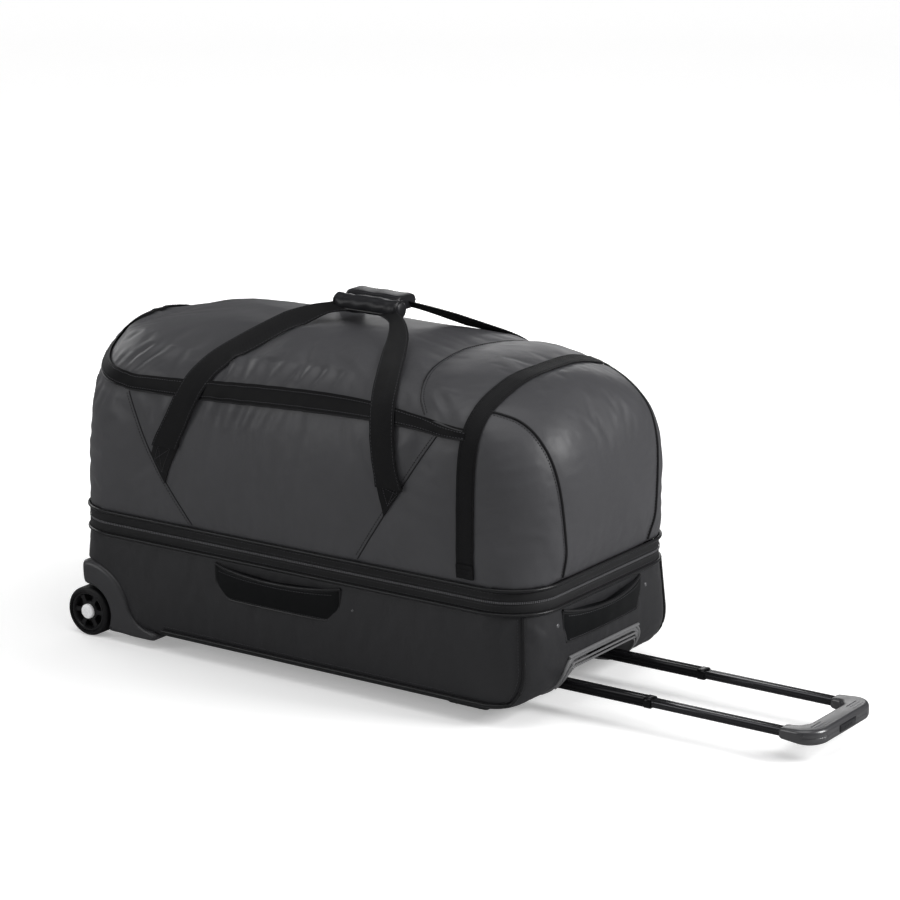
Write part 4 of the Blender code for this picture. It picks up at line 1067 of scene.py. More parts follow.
def make_band():
    """Both halves of the band, with the long zip between them round the front and both ends."""
    halves = (("lower", LOWER_BAND_LOW.z, LOWER_BAND_HIGH.z, "case", -0.0007),
              ("upper", BAND_LOW.z, BAND_HIGH.z, "upper_bag", 0.0007))
    for name, low, high, body, from_split in halves:
        rows = []
        for p, n in zip(*band_path(-0.0026, 0.0)):
            sag = 0.0008 * sin(9 * p[0] + 13 * p[1])
            rows.append([(p + (0, 0, z) + n * (sag * sin(pi * (z - low) / (high - low))), n)
                         for z in np.linspace(low + 0.0002, high - 0.0002, 6)])
        attach(name + "_band", strip(rows, 0.0024, closed=True), "tape", body, name + "_zip_tape")
        path, out = band_path(0.0, BAND_SPLIT + from_split)
        start = int(np.argsort(-path[:, 1])[0])
        path, out = np.roll(path, -start, 0), np.roll(out, -start, 0)
        open_run = path[:, 1] < BAND_HALF_WIDTH - 0.012
        teeth = zip_teeth(path[open_run], out[open_run], 0.0028, (0.0013, 0.0012, 0.0009))
        attach(name + "_zip_teeth", teeth, "teeth", body)
        threads = [stitches(*band_path(0.0, z), 0.005, 0.0034, 0.0003, 0.0, closed=True)
                   for z in (low + 0.0042, high - 0.0042)]
        attach(name + "_band_stitches", merge(threads), "thread", body)
    for name, z, body, node in (("band_piping_upper", BAND_TOP, "upper_bag", "band_top_piping"),
                                ("band_piping_lower", CASE_TOP, "case", "case_top_piping")):
        path = smooth_path(band_path(0.0010, z)[0], 0.007, True)
        normals = np.tile((0.0, 0.0, 1.0), (len(path), 1))
        attach(name, sweep(path, normals, circle(PIPING_RADIUS, 12), True), "piping", body, node)
    low, high = box("rear_hinge_tape")
    rows = [[((x, BAND_HALF_WIDTH + 0.0003, z), (0, 1, 0)) for z in np.linspace(low.z, high.z, 5)]
            for x in np.linspace(low.x, high.x, 40)]
    attach("hinge_tape", strip(rows, 0.0011), "tape", "case", "rear_hinge_tape")


make_band()


# ---------------------------------------------------------------- the lower case

def case_ring(z, inset=0.0):
    length = CASE_REACH - inset
    radius = CASE_END_RADIUS - inset
    drop = min(max(CASE_BOTTOM + CASE_END_RADIUS - z, 0.0), radius)
    reach = length - radius + sqrt(max(radius ** 2 - drop ** 2, 0))
    edge = CASE_EDGE_RADIUS - inset
    drop = min(max(CASE_BOTTOM + CASE_EDGE_RADIUS - z, 0.0), edge)
    half_width = CASE_HALF_WIDTH - inset - edge + sqrt(max(edge ** 2 - drop ** 2, 0))
    share = min(max((z - CASE_BOTTOM) / (CASE_TOP - CASE_BOTTOM), 0.0), 1.0)
    corner = CASE_CORNERS[0] + (CASE_CORNERS[1] - CASE_CORNERS[0]) * share - inset
    outline = plan_outline(reach, reach, half_width, corner, corner, 8, 24, 2)
    return [Vector((x, y, z)) for x, y in outline]


def fender_outline(grow=0.0, steps=24):
    """The wheel housing from the side: an arch over the wheel with a toe along the case's lower edge."""
    wheel = ((TYRE_LOW.x + TYRE_HIGH.x) / 2, (TYRE_LOW.z + TYRE_HIGH.z) / 2)
    points = arc(wheel, 0.0730 + grow, 98, 10, steps)
    points += arc((-0.2345, 0.0640), 0.0400 - grow, 206, 272, steps // 3)
    points += [(-0.2225 + grow, 0.0200), (-0.2260 + grow, 0.0120 - grow)]
    if grow:
        return points + [(-0.40, 0.0120 - grow), (-0.40, wheel[1] + 0.0730 + grow)]
    return points + arc(wheel, 0.0385, -35.6, 102, steps)


HOUSING_LOW, HOUSING_HIGH = box("wheel_housing_rear")
BEZEL_LOW, BEZEL_HIGH = box("handle_bezel")
WHEEL = Vector(((TYRE_LOW.x + TYRE_HIGH.x) / 2, 0, (TYRE_LOW.z + TYRE_HIGH.z) / 2))


def make_case():
    rises = np.r_[0, 0.002, 0.005, 0.009, 0.014, 0.022, 0.032, 0.044, 0.055, 0.075, 0.100]
    levels = [CASE_BOTTOM + r for r in rises] + [CASE_TOP + 0.006]
    obj = remesh(add_object("case_cloth", loft_mesh([case_ring(z) for z in levels]), M["case"]), CASE_VOXEL)
    bisect(obj, (0, 0, CASE_TOP - 0.0006), (0, 0, 1), clear_outer=True)
    points = co_of(obj.data)
    grab_front = np.linalg.norm((points - (-0.017, -CASE_HALF_WIDTH, 0.118)) * (0.2, 1, 1), axis=1)
    to_top = CASE_TOP - points[:, 2]
    corner_seams = [[Vector((x, s * y, z)) for z in np.linspace(0.032, CASE_TOP, 12)]
                    for x, y in ((0.352, 0.170), (-0.352, 0.170)) for s in (-1, 1)]
    to_seam = distance_to(points, corner_seams)
    low_edge = np.abs(points[:, 2] - 0.0295)
    low_edge += np.where(np.abs(points[:, 1]) < CASE_HALF_WIDTH - 0.012, 0.2, 0)
    to_housing = np.hypot(points[:, 0] - WHEEL.x, points[:, 2] - WHEEL.z) - 0.074
    to_housing = np.where(np.abs(points[:, 1]) > 0.145, np.maximum(to_housing, 0), 0.2)
    bezel_box = np.maximum(np.abs(points[:, 1]) - 0.090, points[:, 2] - BEZEL_HIGH.z)
    to_bezel = np.where(points[:, 0] > 0.28, np.maximum(bezel_box, 0), 0.2)
    to_foot = points[:, 2] - CASE_BOTTOM + 0.006
    to_edge = np.minimum.reduce([to_top, to_seam, low_edge, to_housing, to_bezel, to_foot])
    free = ease(to_edge, 0.002, 0.040)
    outward = unit(co_of(obj.data, "normal"))
    soft = 0.0010 + 0.0012 * wander(points, 0.22, 31) + 0.0006 * wander(points, 0.08, 32)
    near = np.exp(-(grab_front / 0.030) ** 2)
    points += outward * (free * soft - 0.0010 * near)[:, None]
    set_co(obj.data, points)
    pinned = np.where(to_edge < 0.004, 1.0, 0.0)
    pinned = np.maximum(pinned, np.where(points[:, 2] < CASE_BOTTOM + 0.004, 1.0, 0.0))
    full = np.clip(np.exp(-(to_top / 0.03) ** 2) + np.exp(-(to_seam / 0.025) ** 2), 0, 1)
    settle_cloth(obj, pinned, full, 1.6, 0.005, 0.012)
    thicken(obj, CASE_CLOTH_THICK)
    obj.data.materials.append(M["lining"])
    tools = []
    for s in (-1, 1):
        low, high = sorted((s * (HOUSING_LOW.y - 0.0003), s * 0.24))
        tools.append(prism(fender_outline(0.0003), low, high, "y"))
    half = (BEZEL_HIGH.y - BEZEL_LOW.y) / 2 + 0.0003
    notch = [(y, z + BEZEL_HIGH.z + 0.0003 - 0.060) for y, z in rounded_rectangle(half, 0.060, 0.020, 8)]
    tools.append(prism(notch, BEZEL_LOW.x - 0.0003, 0.45, "x"))
    cut(obj, tools)
    obj.data.shade_smooth()
    obj.data.set_sharp_from_angle(angle=radians(50))
    skin = Skin(obj)
    ride(obj, "case", "case_shell")
    return skin


CASE_SKIN = make_case()


def make_case_trim():
    """Corner cords, the cord along each lower edge, and the stitching beside them."""
    for label, s in SIDES:
        def at(z, turn, out=PIPING_RADIUS + 0.0006):
            ring = case_ring(z)
            share = (z - CASE_BOTTOM) / (CASE_TOP - CASE_BOTTOM)
            corner = CASE_CORNERS[0] + (CASE_CORNERS[1] - CASE_CORNERS[0]) * share
            x = max(p.x for p in ring) - corner + (corner + out) * sin(radians(turn))
            y = max(p.y for p in ring) - corner + (corner + out) * cos(radians(turn))
            return Vector((x, s * y, z))
        down = [at(z, 46) for z in (0.1465, 0.120, 0.090, 0.074, 0.062, 0.052, 0.044, 0.037, 0.032)]
        bend_points = [at(0.0305, 34), at(0.0300, 22), at(0.0295, 10), at(0.0295, 0)]
        y, z = bend_points[-1].y, bend_points[-1].z
        flat = [Vector((x, y, z)) for x in (0.26, 0.200, 0.12, 0.060, -0.02, -0.080, -0.16, -0.2140)]
        path = smooth_path(down + bend_points + flat, 0.005)
        attach("corner_piping_" + label, cord(path, PIPING_RADIUS, sides=12), "piping", "case",
               "case_piping_" + label)
        threads = [stitches(*CASE_SKIN.lay(smooth_path(line, 0.006) + np.array(shift), STITCH_LIFT))
                   for line, shift in ((flat, (0, 0, 0.0065)), (down, (-0.005, s * 0.005, 0)))]
        attach("case_stitches_" + label, merge(threads), "thread", "case")


make_case_trim()


# ---------------------------------------------------------------- wheels and housings

def rounded_ring(ring, passes):
    for _ in range(passes):
        ring = (np.roll(ring, 1, 0) + 2 * ring + np.roll(ring, -1, 0)) / 4
    return ring


def make_housing(label, s):
    """A puffed arch: the outline's corners are rounded, then each ring steps in towards the outer face."""
    low, high = HOUSING_LOW.y, HOUSING_HIGH.y
    outline = np.array(fender_outline() + fender_outline()[:1])
    along = run_along(outline)
    stops = np.arange(0, along[-1] - 0.001, 0.0022)
    ring = np.stack([np.interp(stops, along, outline[:, k]) for k in (0, 1)], 1)
    ring = rounded_ring(ring, 9)
    turning = np.sign(np.sum(ring[:, 0] * np.roll(ring[:, 1], -1) - np.roll(ring[:, 0], -1) * ring[:, 1]))
    puff = 0.0032 + 0.0036 * ease(-ring[:, :1], 0.262, 0.290)
    rings = [[(x, s * low, z) for x, z in ring]]
    before = 0.0
    for turn in np.radians((0, 15, 30, 42, 54, 66, 78, 90)):
        ahead = np.roll(ring, -1, 0) - np.roll(ring, 1, 0)
        inward = turning * unit(np.stack([-ahead[:, 1], ahead[:, 0]], 1))
        ring = ring + inward * puff * (1 - cos(turn) - before)
        ring = rounded_ring(ring, 4 if turn else 0)
        before = 1 - cos(turn)
        depth = high - puff[:, 0] * (1 - sin(turn))
        rings.append([(x, s * y, z) for (x, z), y in zip(ring, depth)])
    shell = add_object("wheel_fender_" + label, loft_mesh(rings), M["housing"])
    parts = [shell.data.copy()]
    # A raised lip runs round the arch
    face = s * (HOUSING_HIGH.y - 0.0052)
    lip = [(x, face, z) for x, z in arc((WHEEL.x, WHEEL.z), 0.0398, -20, 88, 40)]
    parts.append(cord(lip, 0.0016, sides=10, up=(0, 1, 0)))
    # The wall that carries the axle, with ribs
    wall = [(0.0045, 0.0), (0.0300, 0.0), (0.0300, 0.0050), (0.0045, 0.0050)]
    hub = (WHEEL.x + 0.004, s * HOUSING_LOW.y, WHEEL.z + 0.014)
    parts.append(turned(wall, hub, (0, s, 0), 48))
    for angle in (20, 55, 90, 125):
        a = radians(angle)
        rib = [(hub[0] + r * cos(a), s * (HOUSING_LOW.y + 0.0045), hub[2] + r * sin(a))
               for r in (0.010, 0.034)]
        parts.append(cord(rib, 0.0018, sides=6, up=(0, 1, 0)))
    swap_mesh(shell, merge(parts))
    finish_mesh(shell.data, M["housing"], 40)
    ride(shell, "case", "wheel_housing_" + label)


def make_wheel(label, s):
    """A tyre with a lipped tread, a six-spoked rim and a plain ringed cap."""
    body = "wheel_" + label
    low, high = box("tyre_" + label)
    radius, half = (high.x - low.x) / 2, (high.y - low.y) / 2 + 0.0025
    hub = Vector((WHEEL.x, s * (abs(high.y + low.y) / 2 + 0.0025), WHEEL.z))
    out = (0, s, 0)
    tread = [(0.0281, -half + 0.001)]
    tread += [(radius - 0.0045 + 0.0045 * cos(a), -half + 0.0045 + 0.0045 * sin(a))
              for a in np.linspace(-pi / 2, 0, 7)]
    for groove in (-0.0035, 0.0035):
        tread += [(radius, groove - 0.0007), (radius - 0.0007, groove), (radius, groove + 0.0007)]
    tread += [(radius - 0.0045 + 0.0045 * cos(a), half - 0.0045 + 0.0045 * sin(a))
              for a in np.linspace(0, pi / 2, 7)]
    tread += [(0.0305, half), (0.0300, half - 0.0008), (0.0292, half - 0.0008), (0.0281, half - 0.0002)]
    attach("tyre_rubber_" + label, turned(tread, hub, out, 72), "tyre", body, "tyre_" + label)
    face = half - 0.0020
    outer = [(0.0236, -face), (0.0279, -face), (0.0279, face), (0.0270, face + 0.0008),
             (0.0250, face + 0.0004), (0.0236, face - 0.0016)]
    boss = [(0.0086, -face), (0.0135, -face), (0.0140, face - 0.0030), (0.0128, face - 0.0018),
            (0.0086, face - 0.0024)]
    web = [(0.0120, -0.0020), (0.0245, -0.0020), (0.0245, 0.0010), (0.0120, 0.0010)]
    parts = [turned(outer, hub, out, 72), turned(boss, hub, out, 60), turned(web, hub, out, 60)]
    for k in range(6):
        a = radians(60 * k)
        along = Vector((cos(a), 0, sin(a)))
        across = Vector((-sin(a), 0, cos(a)))
        corners = [(0.0125, 0.0036), (0.0175, 0.0028), (0.0245, 0.0040)]
        outline = corners + [(r, -w) for r, w in corners[::-1]]
        points = []
        for depth in (-0.0015, face - 0.0022):
            points += [hub + along * r + across * w + Vector(out) * depth for r, w in outline]
        n = len(outline)
        faces = [tuple(range(n)), tuple(range(2 * n - 1, n - 1, -1))] + bands(2, n)
        parts.append(mesh_of(points, faces))
    attach("spoked_rim_" + label, merge(parts), "rim", body, "rim_" + label)
    top = face + 0.0006
    cap = [(0.0, top + 0.0030), (0.0026, top + 0.0030), (0.0031, top + 0.0025), (0.0036, top + 0.0030),
           (0.0056, top + 0.0029), (0.0061, top + 0.0024), (0.0066, top + 0.0028), (0.0086, top + 0.0024),
           (0.0098, top + 0.0016), (0.0102, top + 0.0004), (0.0102, face - 0.0016), (0.0, face - 0.0016)]
    attach("hub_cover_" + label, turned(cap, hub, out, 64), "hub", body, "hub_cap_" + label)


for label, s in SIDES:
    make_housing(label, s)
    make_wheel(label, s)


def make_feet():
    for label in ("front", "rear"):
        low, high = box("foot_" + label)
        middle, half = (low + high) / 2, (high - low) / 2
        rows = []
        for z, shrink in ((high.z, 0.0), (0.006, 0.002), (0.0025, 0.0032), (0.0008, 0.0050), (0.0, 0.0075)):
            outline = rounded_rectangle(half.x - shrink, half.y - shrink, 0.0065 - shrink * 0.5, 6)
            rows.append([Vector((middle.x + u, middle.y + v, z)) for u, v in outline])
        parts = [loft_mesh(rows[::-1])]
        for x in (-0.018, 0.0, 0.018):
            rib = [(middle.x + x, middle.y + v, 0.0004) for v in (-0.008, 0.008)]
            parts.append(cord(rib, 0.0011, sides=8))
        foot = merge(parts)
        co = co_of(foot)
        co[:, 2] = np.maximum(co[:, 2], 0.0)
        set_co(foot, co)
        attach("rest_foot_" + label, foot, "housing", "case", "foot_" + label)


make_feet()


def make_rivets():
    """Domed rivets on a washer, with a small dimple."""
    head = [(0.0, 0.0031), (0.0016, 0.0030), (0.0022, 0.0026), (0.0030, 0.0027), (0.0040, 0.0020),
            (0.0046, 0.0012), (0.0052, 0.0012), (0.0058, 0.0008), (0.0060, 0.0), (0.0060, -0.001),
            (0.0, -0.001)]
    for name, out in (("front_handle_rivet_left", (0, -1, 0)), ("front_handle_rivet_right", (0, -1, 0)),
                      ("end_handle_rivet_front", (1, 0, 0)), ("end_handle_rivet_rear", (1, 0, 0))):
        low, high = box(name)
        middle = (low + high) / 2
        place = Vector([high[i] - 0.003 if out[i] > 0 else low[i] + 0.003 if out[i] < 0 else middle[i]
                        for i in range(3)])
        attach("domed_" + name, turned(head, place, out, 32), "rivet", "case", name)


make_rivets()


# ---------------------------------------------------------------- the trolley handle

TUBE_Y = abs(box("trolley_lower_tube_rear")[0].y + box("trolley_lower_tube_rear")[1].y) / 2
TUBE_Z = (box("trolley_lower_tube_rear")[0].z + box("trolley_lower_tube_rear")[1].z) / 2


def tube(low, high, wall, groove=0.0):
    """A rounded tube along the bag, with a shallow groove down its upper face and its flanks."""
    middle = (low + high) / 2
    half_u, half_v = (high.y - low.y) / 2, (high.z - low.z) / 2
    outline = rounded_rectangle(half_u, half_v, min(half_v * 0.72, 0.0046), 6)
    dense = smooth_path([(u, v, 0) for u, v in outline], 0.0008, True)[:, :2]
    if groove:
        dense[:, 1] -= np.sign(dense[:, 1]) * groove * np.exp(-(dense[:, 0] / 0.0016) ** 2)
        dense[:, 0] -= np.sign(dense[:, 0]) * groove * np.exp(-(dense[:, 1] / 0.0012) ** 2)
    inner = dense * (1 - wall / np.array((half_u, half_v)))
    stops = (low.x, low.x + 0.0006, high.x - 0.0006, high.x)
    points = []
    for i, x in enumerate(stops):
        shrink = 0.0004 if i in (0, 3) else 0.0
        points += [(x, middle.y + u * (1 - shrink / half_u), middle.z + v * (1 - shrink / half_v))
                   for u, v in dense]
    for x in (high.x, low.x):
        points += [(x, middle.y + u, middle.z + v) for u, v in inner]
    return mesh_of(points, bands(6, len(dense), True))


def make_tubes():
    for label in ("front", "rear"):
        for node, body, material, wall, groove in (
                ("trolley_outer_tube_", "case", "mill", 0.0012, 0.0),
                ("trolley_lower_tube_", "trolley_lower", "tube", 0.0010, 0.0006),
                ("trolley_upper_tube_", "trolley_upper", "inner_tube", 0.0010, 0.0006),
                ("tube_collar_", "trolley_lower", "tube", 0.0015, 0.0)):
            low, high = box(node + label)
            attach("visual_" + node + label, tube(low, high, wall, groove), material, body, node + label)


make_tubes()


def make_grip():
    """The grip: a U of soft-edged plastic with a parting line, finger rests and the release button."""
    low, high = box("trolley_grip")
    half, inner = high.y, high.y - 0.028
    near = high.x - 0.030
    outline = [(low.x, -half)]
    outline += arc((high.x - 0.032, -half + 0.032), 0.032, 270, 360, 14)
    outline += arc((high.x - 0.032, half - 0.032), 0.032, 0, 90, 14)
    outline += [(low.x, half), (low.x, inner)]
    outline += arc((near - 0.014, inner - 0.014), 0.014, 90, 0, 8)
    outline += arc((near - 0.014, -inner + 0.014), 0.014, 0, -90, 8)
    outline += [(low.x, -inner)]
    grip = add_object("grip_shell", prism(outline, low.z, high.z, "z", 0.0058, 5), M["grip"])
    z = TUBE_Z
    # Its two arms taper towards the tubes they are pressed onto
    points = co_of(grip.data)
    taper = 1 - ease(points[:, 0], low.x, low.x + 0.046)
    side = np.sign(points[:, 1]) * TUBE_Y
    points[:, 2] = z + (points[:, 2] - z) * (1 - taper * (1 - 0.0074 / (high.z - z)))
    points[:, 1] = side + (points[:, 1] - side) * (1 - 0.22 * taper * (np.abs(points[:, 1]) > inner - 0.001))
    set_co(grip.data, points)
    tools = [slab((s * TUBE_Y, z), 0.0085, 0.0055, 0.0042, 6, low.x - 0.01, low.x + 0.0183, "x")
             for s in (-1, 1)]
    front = box("grip_button")[1].x
    # The button's window, and a slot behind it for the bar that spans the arms
    tools.append(slab((0, z), 0.0216, 0.0048, 0.0016, 4, low.x + 0.0385, high.x + 0.01, "x"))
    tools.append(slab((0, z), 0.0700, 0.0034, 0.001, 2, low.x + 0.0340, low.x + 0.0465, "x"))
    # A fine parting groove runs round the outside at mid height
    path = [(x, y, z) for x, y in outline[1:31]]
    groove = smooth_path([(x + 0.0002, y, z) for x, y, _ in path], 0.003)
    left, right = groove[groove[:, 1] < -0.026], groove[groove[:, 1] > 0.026]
    for run in (left, right):
        tools.append(cord(run, 0.0005, sides=6))
    cut(grip, tools)
    finish_mesh(grip.data, M["grip"], 35)
    ride(grip, "trolley_upper", "trolley_grip")
    ribs = []
    for k in range(7):
        y = -0.012 + 0.004 * k
        rib = [(near + 0.0012, y, z - 0.0040), (near + 0.0002, y, z), (near + 0.0012, y, z + 0.0040)]
        ribs.append(cord(rib, 0.0008, sides=6, up=(0, 1, 0)))
    for y in (-0.046, 0.046):
        for k in range(3):
            x = high.x - 0.020 + 0.005 * k
            rib = [(x, y + v, high.z - 0.0002) for v in (-0.012, 0.012)]
            ribs.append(cord(rib, 0.0006, sides=6))
    attach("grip_ribs", merge(ribs), "grip", "trolley_upper")
    outline = rounded_rectangle(0.0210, 0.00425, 0.0014, 4)
    points = [[Vector((x, u * g, z + v * g)) for u, v in outline]
              for x, g in ((low.x + 0.042, 1.0), (front - 0.0014, 1.0), (front - 0.0005, 0.97),
                           (front, 0.90))]
    cap = loft_mesh(points)
    dot = [(0.0, 0.0006), (0.0012, 0.0004), (0.0016, -0.0003), (0.0, -0.0003)]
    dots = [turned(dot, (front - 0.0001, y, z), (1, 0, 0), 14) for y in (-0.008, -0.004, 0.0, 0.004, 0.008)]
    bar = slab((0, z), 0.0690, 0.0025, 0.0008, 3, low.x + 0.0385, low.x + 0.043, "x")
    attach("release_button", merge([cap, bar, *dots]), "button", "grip_button", "grip_button")


make_grip()


def make_bezel():
    """The surround of the trolley handle: a ribbed visor over the pocket the grip parks in."""
    reach = CASE_REACH + 0.0022
    half, top = (BEZEL_HIGH.y - BEZEL_LOW.y) / 2, BEZEL_HIGH.z
    outline = [(y, z + top - 0.060) for y, z in rounded_rectangle(half, 0.060, 0.020, 10)]
    body = add_object("bezel_shell", prism(outline, BEZEL_LOW.x, reach + 0.0075, "x"), M["bezel"])
    levels = [CASE_BOTTOM - 0.0024 + r for r in (0, 0.002, 0.005, 0.01, 0.02, 0.035, 0.05, 0.07, 0.1)]
    skin = loft_mesh([case_ring(z, -0.0024) for z in levels])
    cut(body, [skin], "INTERSECT")
    rings = []
    for x, roof in ((0.300, 0.0560), (BEZEL_HIGH.x + 0.020, 0.0745)):
        rings.append([Vector((x, y, z + roof - 0.060)) for y, z in rounded_rectangle(0.083, 0.060, 0.016, 8)])
    tools = [loft_mesh(rings)]
    low, high = box("trolley_lower_tube_rear")
    for s in (-1, 1):
        hole = rounded_rectangle((high.y - low.y) / 2 + 0.0004, (high.z - low.z) / 2 + 0.0004, 0.0050, 6)
        tools.append(prism([(s * TUBE_Y + u, TUBE_Z + v) for u, v in hole], 0.280, 0.320, "x"))
    cut(body, tools)
    modified(body, "BEVEL", width=0.0010, segments=2, limit_method="ANGLE", angle_limit=radians(45))
    parts = [body.data.copy()]
    # The hood stands proud of the cloth, with two long ribs and rounded cheeks
    for lift, z_shift, radius, inset in ((0.0008, -0.0008, 0.0024, 0.0), (0.0030, -0.0105, 0.0014, 0.010),
                                         (0.0032, -0.0165, 0.0014, 0.014)):
        z_top, corner = top + z_shift, 0.020
        path = [(-half + inset * 0.4, 0.036 if lift < 0.002 else z_top - 0.030)]
        path += arc((-half + corner + inset * 0.4, z_top - corner), corner, 180, 100, 8)
        path += [(-y, z) for y, z in path[::-1]]
        fine = smooth_path([(0, y, z) for y, z in path], 0.003)
        points = []
        for _, y, z in fine:
            drop = min(max(CASE_BOTTOM + CASE_END_RADIUS - z, 0.0), CASE_END_RADIUS)
            x = CASE_REACH - CASE_END_RADIUS + sqrt(CASE_END_RADIUS ** 2 - drop ** 2)
            points.append((x + lift, y, z))
        parts.append(cord(points, radius, sides=10, up=(1, 0, 0)))
    swap_mesh(body, merge(parts))
    finish_mesh(body.data, M["bezel"], 40)
    ride(body, "case", "handle_bezel")


make_bezel()


# ---------------------------------------------------------------- grab handles

def make_grab(name, node, centre, out, along, half, height, sag):
    """A padded strip sewn along its foot: its top edge stands open, sags and is bound with piping."""
    centre, out, along = Vector(centre), Vector(out), Vector(along)
    up = Vector((0, 0, 1))
    columns, levels = 56, 14
    outer, inner = [], []
    for j in range(levels + 1):
        v = j / levels
        reach = np.interp(v, (0, 0.5, 1), (half * 0.95, half * 1.03, half * 1.035))
        row_out, row_in = [], []
        for i in range(columns + 1):
            u = 2 * i / columns - 1
            middle = 1 - u * u
            slack = middle ** 0.8
            puff = 0.0026 * (sin(pi * v) ** 0.7) * (1 - u ** 8)
            bow = 0.0010 + 0.0115 * slack * (0.30 + 0.70 * v)
            ripple = 0.00025 * sin(u * 17 + 3 * v) * sin(pi * v) * middle
            z = height * v - sag * slack * v ** 3
            place = centre + along * (u * reach) + up * z
            depth = bow + puff + ripple
            row_out.append(place + out * (depth + 0.0010))
            row_in.append(place + out * (max(bow - 0.0015, 0.0004)))
        outer.append(row_out)
        inner.append(row_in)
    pad = add_object(name, loft_mesh([a + b[::-1] for a, b in zip(outer, inner)]), M["grab"])
    subdivide(pad)
    pad.data.shade_smooth()
    ride(pad, node, node)
    parts = []
    top = smooth_path([(a + b) / 2 + up * 0.0004 for a, b in zip(outer[-1], inner[-1])], 0.004)
    parts.append(sweep(top, np.tile(tuple(out), (len(top), 1)), circle(0.0021, 10)))
    foot = smooth_path([p + up * 0.0006 for p in outer[0]], 0.004)
    parts.append(sweep(foot, np.tile(tuple(out), (len(foot), 1)), circle(0.0013, 8)))
    for i in (0, columns):
        side_line = smooth_path([(outer[j][i] + inner[j][i]) / 2 for j in range(levels + 1)], 0.004)
        parts.append(sweep(side_line, np.tile(tuple(out), (len(side_line), 1)), circle(0.0018, 8)))
    attach(name + "_binding", merge(parts), "piping", node)
    rows = []
    for j in (levels - 2, 1):
        line = smooth_path([p + out * 0.0003 for p in outer[j][2:-2]], 0.004)
        rows.append(stitches(line, np.tile(tuple(out), (len(line), 1))))
    attach(name + "_stitches", merge(rows), "thread", node)


GRAB_F_LOW, GRAB_F_HIGH = box("front_grab_handle")
GRAB_E_LOW, GRAB_E_HIGH = box("end_grab_handle")


make_grab("front_grab_pad", "front_grab_handle",
          ((GRAB_F_LOW.x + GRAB_F_HIGH.x) / 2, -CASE_HALF_WIDTH, GRAB_F_LOW.z), (0, -1, 0), (1, 0, 0),
          (GRAB_F_HIGH.x - GRAB_F_LOW.x) / 2, GRAB_F_HIGH.z - GRAB_F_LOW.z, 0.0075)
make_grab("end_grab_pad", "end_grab_handle",
          (CASE_REACH, (GRAB_E_LOW.y + GRAB_E_HIGH.y) / 2, GRAB_E_LOW.z), (1, 0, 0), (0, 1, 0),
          (GRAB_E_HIGH.y - GRAB_E_LOW.y) / 2, GRAB_E_HIGH.z - GRAB_E_LOW.z, 0.0110)


# ---------------------------------------------------------------- carry handles

LEFT_STRAP = ((-0.2125, 0.2590), (-0.1520, 0.3800))
RIGHT_STRAP = ((0.1725, 0.2660), (0.1500, 0.3800))
STRAP_GAP = 0.0022


def strap_x(line, z):
    (x0, z0), (x1, z1) = line
    return x0 + (x1 - x0) * (z - z0) / (z1 - z0)


def surface(x, phi, side):
    step = 0.002
    here = section_point(x, phi, side)
    along = section_point(x + step, phi, side) - section_point(x - step, phi, side)
    up = section_point(x, phi + step, side) - section_point(x, phi - step, side)
    normal = along.cross(up).normalized()
    return here, normal if normal.y * side + normal.z > 0 else -normal


